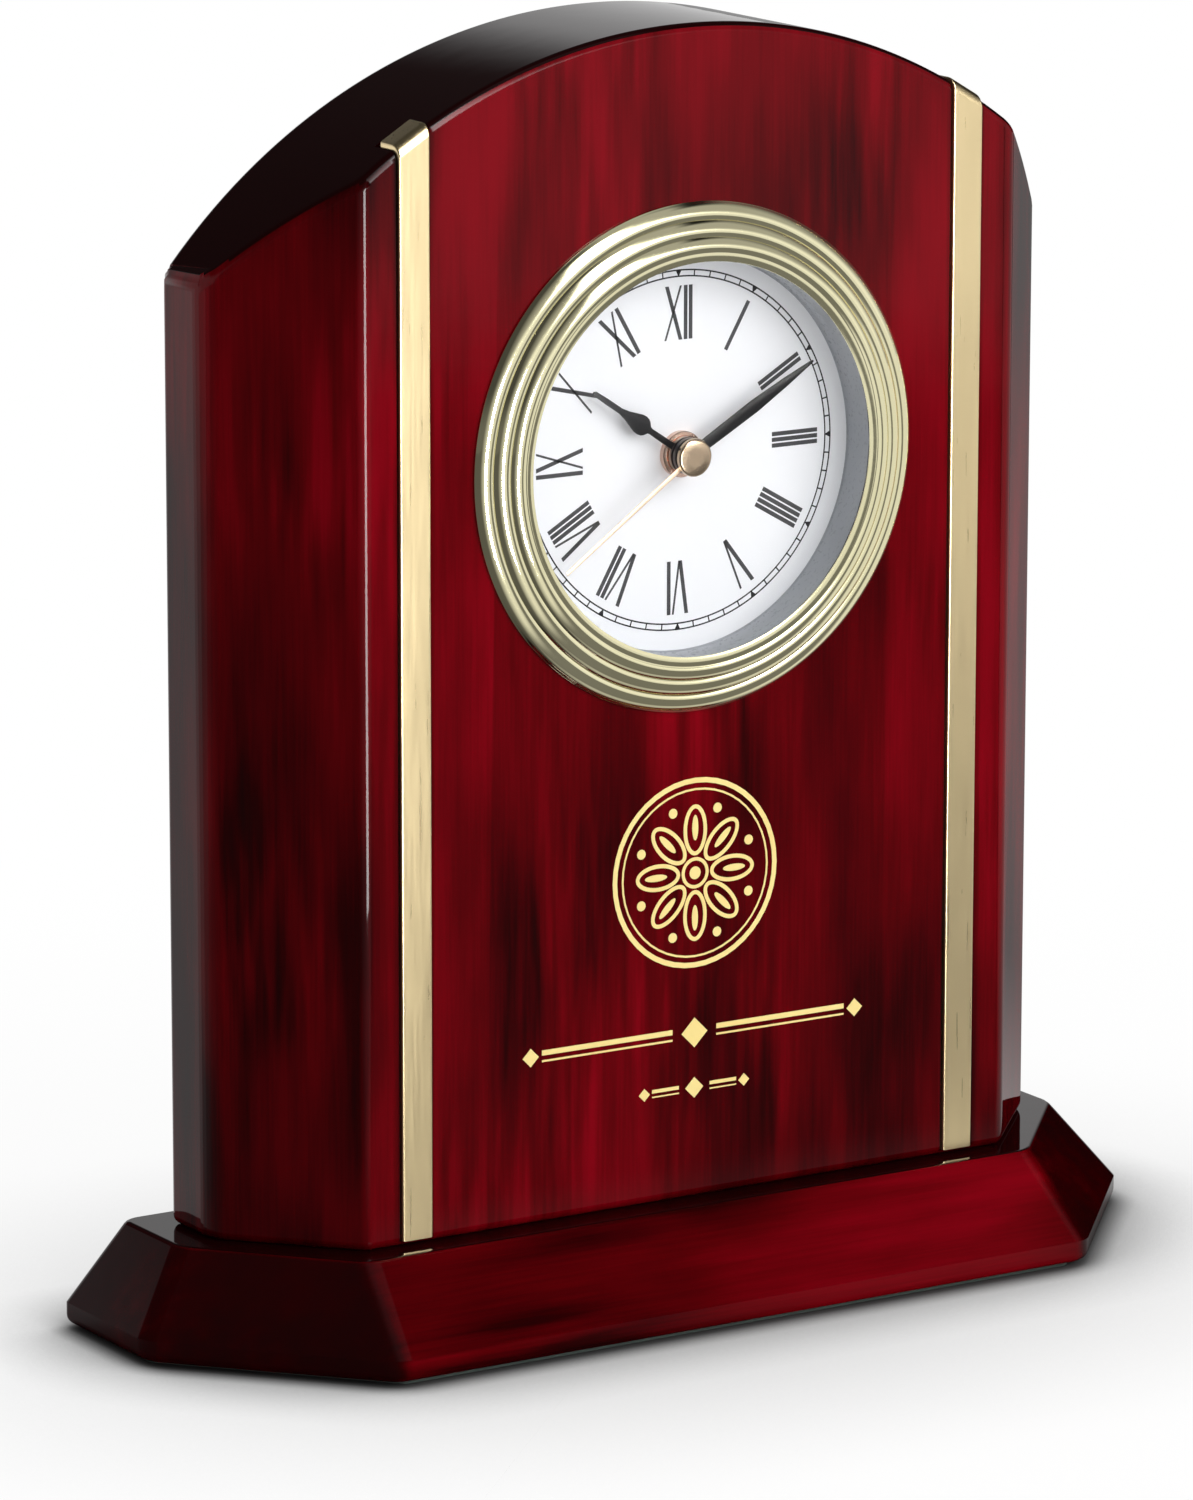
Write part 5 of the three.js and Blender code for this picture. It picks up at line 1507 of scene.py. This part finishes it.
@dataclass
class FrontOrnament:
    """A gold rosette and two ruled ornaments printed on the front.

    A ring is its radius and the width of its line, nought where it is solid. A ruled ornament is its height,
    how far it reaches and its scale, and a bar is its height and its width.
    """

    centre: Point = (0.5, 74.5)
    ink: float = 0.03
    rings: tuple[Point, ...] = ((16.4, 0.9), (14.6, 0.35), (2.7, 0.6), (1.1, 0.0))
    petals: int = 8
    petal: Size = (7.4, 2.35, 4.4)
    petal_line: float = 0.7
    core: Size = (7.8, 0.6, 2.2)
    dot: Point = (11.6, 0.85)
    rules: tuple[Size, ...] = ((46.8, 32.5, 1.0), (37.2, 10.0, 0.7))
    bars: tuple[Point, ...] = ((0.55, 0.9), (-0.85, 0.35))
    bar_starts: float = 4.4
    bar_stops: float = 2.2
    middle_lozenge: float = 2.6
    end_lozenge: float = 1.6

    def add_disc(self, bm: BMesh, place: Point, size: Point, line: float = 0.0, turn: float = 0.0) -> None:
        """Adds a round or oval shape, solid or as an outline.

        Args:
            bm: The mesh it is added to.
            place: Its middle on the front face.
            size: Its two half sizes.
            line: The outline's width, or nought for a solid shape.
            turn: How far it is turned clockwise, in degrees.
        """
        made = bmesh.ops.create_circle(bm, cap_ends=True, segments=48, radius=1.0)["verts"]
        face = made[0].link_faces[0]
        bmesh.ops.scale(bm, vec=(size[0], size[1], 1.0), verts=made)
        parts = [face]
        if line > 0.0:
            parts = bmesh.ops.inset_region(bm, faces=[face], thickness=line, use_boundary=True)["faces"]
            bmesh.ops.delete(bm, geom=[face], context="FACES")
        verts = list({vert for part in parts for vert in part.verts})
        stand = Matrix.Rotation(math.radians(turn), 4, "Y") @ Matrix.Rotation(math.pi / 2, 4, "X")
        move = Matrix.Translation(Vector((place[0], FRONT - self.ink, place[1]))) @ stand
        bmesh.ops.transform(bm, matrix=move, verts=verts)

    def add_shape(self, bm: BMesh, corners: list[Point]) -> None:
        """Adds a flat shape on the front face."""
        bm.faces.new([bm.verts.new((x, FRONT - self.ink, z)) for x, z in corners])

    def add_lozenge(self, bm: BMesh, x: float, z: float, half: float) -> None:
        """Adds a solid lozenge with its middle at a place on the front face."""
        self.add_shape(bm, [(x - half, z), (x, z - half), (x + half, z), (x, z + half)])

    def around(self, distance: float, degrees: float) -> Point:
        """Gives a point round the rosette's middle, by its distance and its turn from the top."""
        turn = math.radians(degrees)
        return self.centre[0] + distance * math.sin(turn), self.centre[1] + distance * math.cos(turn)

    def rosette(self, bm: BMesh) -> None:
        """Adds the rosette: rings, petals with their cores, and dots.

        Args:
            bm: The mesh it is added to.
        """
        for radius, line in self.rings:
            self.add_disc(bm, self.centre, (radius, radius), line)
        for index in range(self.petals):
            angle = 360.0 * index / self.petals
            between = angle + 180.0 / self.petals
            self.add_disc(bm, self.around(self.petal[0], angle), self.petal[1:], self.petal_line, angle)
            self.add_disc(bm, self.around(self.core[0], angle), self.core[1:], 0.0, angle)
            self.add_disc(bm, self.around(self.dot[0], between), (self.dot[1], self.dot[1]))

    def lines(self, bm: BMesh) -> None:
        """Adds the two ruled ornaments under the rosette: lozenges and bars.

        Args:
            bm: The mesh they are added to.
        """
        x = self.centre[0]
        for height, reach, scale in self.rules:
            self.add_lozenge(bm, x, height, self.middle_lozenge * scale)
            for side in (-1.0, 1.0):
                inner = x + side * self.bar_starts * scale
                outer = x + side * reach
                low, high = sorted((inner, outer - side * self.bar_stops * scale))
                for rise, width in self.bars:
                    foot = height + (rise - width / 2) * scale
                    head = height + (rise + width / 2) * scale
                    self.add_shape(bm, [(low, foot), (high, foot), (high, head), (low, head)])
                self.add_lozenge(bm, outer, height, self.end_lozenge * scale)

    def build(self) -> None:
        """Makes the ornament and gives it its finish."""
        bm = bmesh.new()
        self.rosette(bm)
        self.lines(bm)
        push_out(bm, bm.faces[:], Vector((0.0, self.ink, 0.0)))
        hand_over(finished("front_ornament_gold", bm, Finishes.gold_ink, 35.0), "case", "lacquered_wood")


# The studio


@dataclass
class Studio:
    """The pale floor, the light and the camera at the photograph's angle.

    A mirror is what glossy rays see: brightness by direction, in degrees to the right of the front. A pair
    of numbers is the start and end of a soft edge, and four add the values at its two ends. The card is a
    dark patch of floor before the clock, and the strip a slanted band of light, both for glossy rays alone.
    """

    eye: Size = (-0.7207, -1.1270, 0.3903)
    heading: float = -32.17
    tilt: float = 12.51
    roll: float = 0.08
    lens: float = 194.85
    aim_height: float = 0.11
    ambient: float = 0.42
    key_place: Size = (0.62, -1.28, 0.62)
    key_size: Point = (1.5, 1.2)
    key_level: float = 3.25
    glint_place: Size = (-0.06, -0.32, 0.08)
    glint_size: Point = (0.07, 0.22)
    glint_level: float = 40.0
    floor_half: float = 8.0
    floor_grey: Colour = (0.86, 0.86, 0.86)
    floor_white: Point = (0.13, 0.34)
    floor_glow: float = 1.04
    glow_share: float = 0.9
    painted_shadow_reach: Point = (0.022, 0.10)
    painted_shadow_power: float = 3.0
    card_grey: Colour = (0.21, 0.21, 0.21)
    card_lean: float = 0.63
    card_side: Range = (0.10, 0.16, 1.0, 0.0)
    card_back: Range = (-0.09, -0.055, 1.0, 0.0)
    card_far: Range = (0.84, 1.12, 1.0, 0.0)
    back_height: Range = (0.28, 0.45, 0.85, 0.05)
    back_right: Range = (0.58, 0.76, 1.0, 0.0)
    behind: Point = (-0.05, 0.15)
    wall_height: Range = (0.10, 0.35, 1.15, 0.5)
    roof_height: Range = (0.72, 0.84, 0.0, 0.95)
    roof_right: Point = (0.38, 0.50)
    strip_level: float = 22.0
    strip_across: Size = (0.8746, 0.0, 0.4848)
    strip_middle: float = 0.378
    strip_side: Range = (0.0, 0.30, 1.0, 0.0)
    strip_edge: float = 3.6
    strip_foot: Point = (0.05, 0.22)
    strip_head: Range = (0.80, 0.92, 1.0, 0.0)
    floor_mirror: tuple[Point, ...] = (
        (-180.0, 0.9),
        (-160.0, 1.15),
        (-125.0, 1.15),
        (-100.0, 0.3),
        (-82.0, 0.12),
        (-46.0, 0.12),
        (-30.0, 0.5),
        (-10.0, 0.9),
        (100.0, 0.9),
        (118.0, 0.24),
        (140.0, 0.24),
        (160.0, 0.6),
        (180.0, 0.9),
    )
    wall_mirror: tuple[Point, ...] = (
        (-180.0, 0.4),
        (-110.0, 0.5),
        (-82.0, 0.14),
        (-46.0, 0.14),
        (-28.0, 0.45),
        (-6.0, 0.9),
        (62.0, 0.9),
        (88.0, 0.45),
        (115.0, 0.15),
        (150.0, 0.15),
        (180.0, 0.4),
    )

    def camera(self) -> None:
        """Adds the camera."""
        data = bpy.data.cameras.new("photo_camera")
        data.lens = self.lens
        data.sensor_width = 36.0
        data.clip_start = 0.01
        data.clip_end = 100.0
        obj = bpy.data.objects.new("photo_camera", data)
        heading = Matrix.Rotation(math.radians(self.heading), 4, "Z")
        tilt = Matrix.Rotation(math.radians(90.0 - self.tilt), 4, "X")
        roll = Matrix.Rotation(math.radians(self.roll), 4, "Z")
        obj.matrix_world = Matrix.Translation(self.eye) @ heading @ tilt @ roll
        bpy.context.scene.collection.objects.link(obj)
        bpy.context.scene.camera = obj

    @staticmethod
    def mirror(bench: NodeBench, x: Socket, y: Socket, levels: tuple[Point, ...]) -> Socket:
        """Adds what glossy rays see by direction round the clock.

        Args:
            bench: The bench of the material or world.
            x: How far right a place or direction is.
            y: How far back it is.
            levels: Brightness by direction, in degrees to the right of the front.

        Returns:
            The brightness.
        """
        turn = bench.maths("ARCTAN2", x, bench.product(y, -1.0))
        share = bench.maths("MULTIPLY_ADD", turn, 0.5 / math.pi, 0.5)
        stops = [(degrees / 360.0 + 0.5, (level, level, level)) for degrees, level in levels]
        return bench.ramp(share, stops)

    def floor(self) -> None:
        """Adds the floor, which is white to the camera and keeps the clock's shadow, mostly as a contact
        shadow painted into its glow from ambient occlusion; what glossy rays see on it is painted darker
        near the clock too.
        """
        material = bpy.data.materials.new("studio_floor")
        bench = fresh_bench(material)
        place = bench.add("ShaderNodeTexCoord").outputs["Object"]
        reach = bench.vectors("LENGTH", place).outputs["Value"]
        x, y, _ = bench.add("ShaderNodeSeparateXYZ", Vector=place).outputs
        diffuse = bench.add("ShaderNodeBsdfDiffuse", Color=self.floor_grey).outputs[0]
        close, wide = (
            bench.add("ShaderNodeAmbientOcclusion", {"samples": 16}, Distance=distance).outputs["AO"]
            for distance in self.painted_shadow_reach
        )
        # Painted contact shadow: ambient occlusion dims the floor's glow near the clock.
        painted_shade_factor = bench.product(bench.maths("POWER", close, self.painted_shadow_power), wide)
        lift = bench.glow(WHITE, bench.product(painted_shade_factor, self.floor_glow))
        near_look = bench.mix(self.glow_share, diffuse, lift)
        camera_look = bench.mix(bench.spread(reach, *self.floor_white), near_look, bench.glow(WHITE, 1.0))
        aside = bench.maths("ABSOLUTE", bench.maths("MULTIPLY_ADD", y, self.card_lean, x))
        card = bench.product(
            bench.spread(aside, *self.card_side),
            bench.spread(y, *self.card_back),
            bench.spread(reach, *self.card_far),
        )
        level = bench.blend(card, self.mirror(bench, x, y, self.floor_mirror), self.card_grey)
        # Painted shade in the gloss: what glossy rays see on the floor dims near the clock too.
        mirrored = bench.glow(level, bench.product(painted_shade_factor, wide))
        seen, glossy = bench.rays()
        look = bench.mix(seen, bench.mix(glossy, diffuse, mirrored), camera_look)
        bench.add("ShaderNodeOutputMaterial", Surface=look)
        bm = bmesh.new()
        bmesh.ops.create_grid(bm, x_segments=1, y_segments=1, size=self.floor_half)
        obj = new_object("studio_floor", bm, 1.0)
        obj.data.materials.append(material)

    def world(self) -> None:
        """Sets the world: white to the camera, soft light on the clock, walls and a strip in its gloss."""
        world = bpy.data.worlds.new("studio_world")
        bench = fresh_bench(world)
        direction = bench.add("ShaderNodeTexCoord").outputs["Generated"]
        x, y, z = bench.add("ShaderNodeSeparateXYZ", Vector=direction).outputs
        back = bench.product(bench.spread(z, *self.back_height), bench.spread(x, *self.back_right))
        roof = bench.product(bench.spread(z, *self.roof_height), bench.spread(x, *self.roof_right))
        wall = self.mirror(bench, x, y, self.wall_mirror)
        front = bench.product(wall, bench.spread(z, *self.wall_height), bench.rest(roof))
        across = bench.vectors("DOT_PRODUCT", direction, self.strip_across).outputs["Value"]
        aside = bench.maths("ABSOLUTE", bench.maths("SUBTRACT", across, self.strip_middle))
        strip = bench.product(
            bench.maths("POWER", bench.spread(aside, *self.strip_side), self.strip_edge),
            bench.spread(z, *self.strip_foot),
            bench.spread(z, *self.strip_head),
            self.strip_level,
        )
        behind = bench.spread(y, *self.behind)
        before = bench.product(bench.total(front, strip), bench.rest(behind))
        level = bench.total(bench.product(back, behind), before)
        seen, glossy = bench.rays()
        unseen = bench.total(bench.product(bench.rest(glossy), self.ambient), bench.product(glossy, level))
        strength = bench.total(bench.product(bench.rest(seen), unseen), seen)
        surface = bench.add("ShaderNodeBackground", Color=WHITE, Strength=strength)
        bench.add("ShaderNodeOutputWorld", Surface=surface.outputs[0])
        bpy.context.scene.world = world

    def panel(self, name: str, place: Vector, size: Point, level: float, soft: bool) -> None:
        """Adds a soft panel that faces the clock.

        Args:
            name: The lamp's name.
            place: Where its middle is.
            size: Its width and height.
            level: How bright its face is.
            soft: Whether it gives the soft light, and not only a line in the gloss.
        """
        data = bpy.data.lights.new(name, "AREA")
        data.shape = "RECTANGLE"
        data.size, data.size_y = size
        data.energy = level * math.pi * size[0] * size[1]
        obj = bpy.data.objects.new(name, data)
        away = place - Vector((0.0, 0.0, min(place.z, self.aim_height)))
        obj.matrix_world = Matrix.Translation(place) @ away.to_track_quat("Z", "Y").to_matrix().to_4x4()
        obj.visible_diffuse = soft
        obj.visible_glossy = not soft
        obj.visible_camera = False
        bpy.context.scene.collection.objects.link(obj)

    def build(self) -> None:
        """Adds everything round the clock."""
        self.camera()
        self.floor()
        self.world()
        self.panel("front_panel", Vector(self.key_place), self.key_size, self.key_level, True)
        self.panel("low_strip", Vector(self.glint_place), self.glint_size, self.glint_level, False)
        bpy.context.scene.view_settings.view_transform = "Standard"


def dress_nodes(frame: dict) -> None:
    """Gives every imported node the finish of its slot.
    """
    slots = {part["node"]: part["material_slot"] for part in frame["record"]["subparts"]}
    for name, obj in frame["nodes"].items():
        obj.data.materials.clear()
        obj.data.materials.append(Finishes.by_slot[slots[name]].material())


def main() -> None:
    """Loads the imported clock, dresses it and sets the studio round it."""
    logging.basicConfig(level=logging.INFO, format="%(name)s %(message)s")
    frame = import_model()
    dress_nodes(frame)
    strips = [BrassStrip(side) for side in (-1, 1)]
    insert = [Bezel(), Reflector(), Dial(), *make_hands(), CentreFittings()]
    for assembly in [CaseBody(), Plinth(), *strips, *insert, FrontOrnament(), Studio()]:
        assembly.build()


if __name__ == "__main__":
    main()
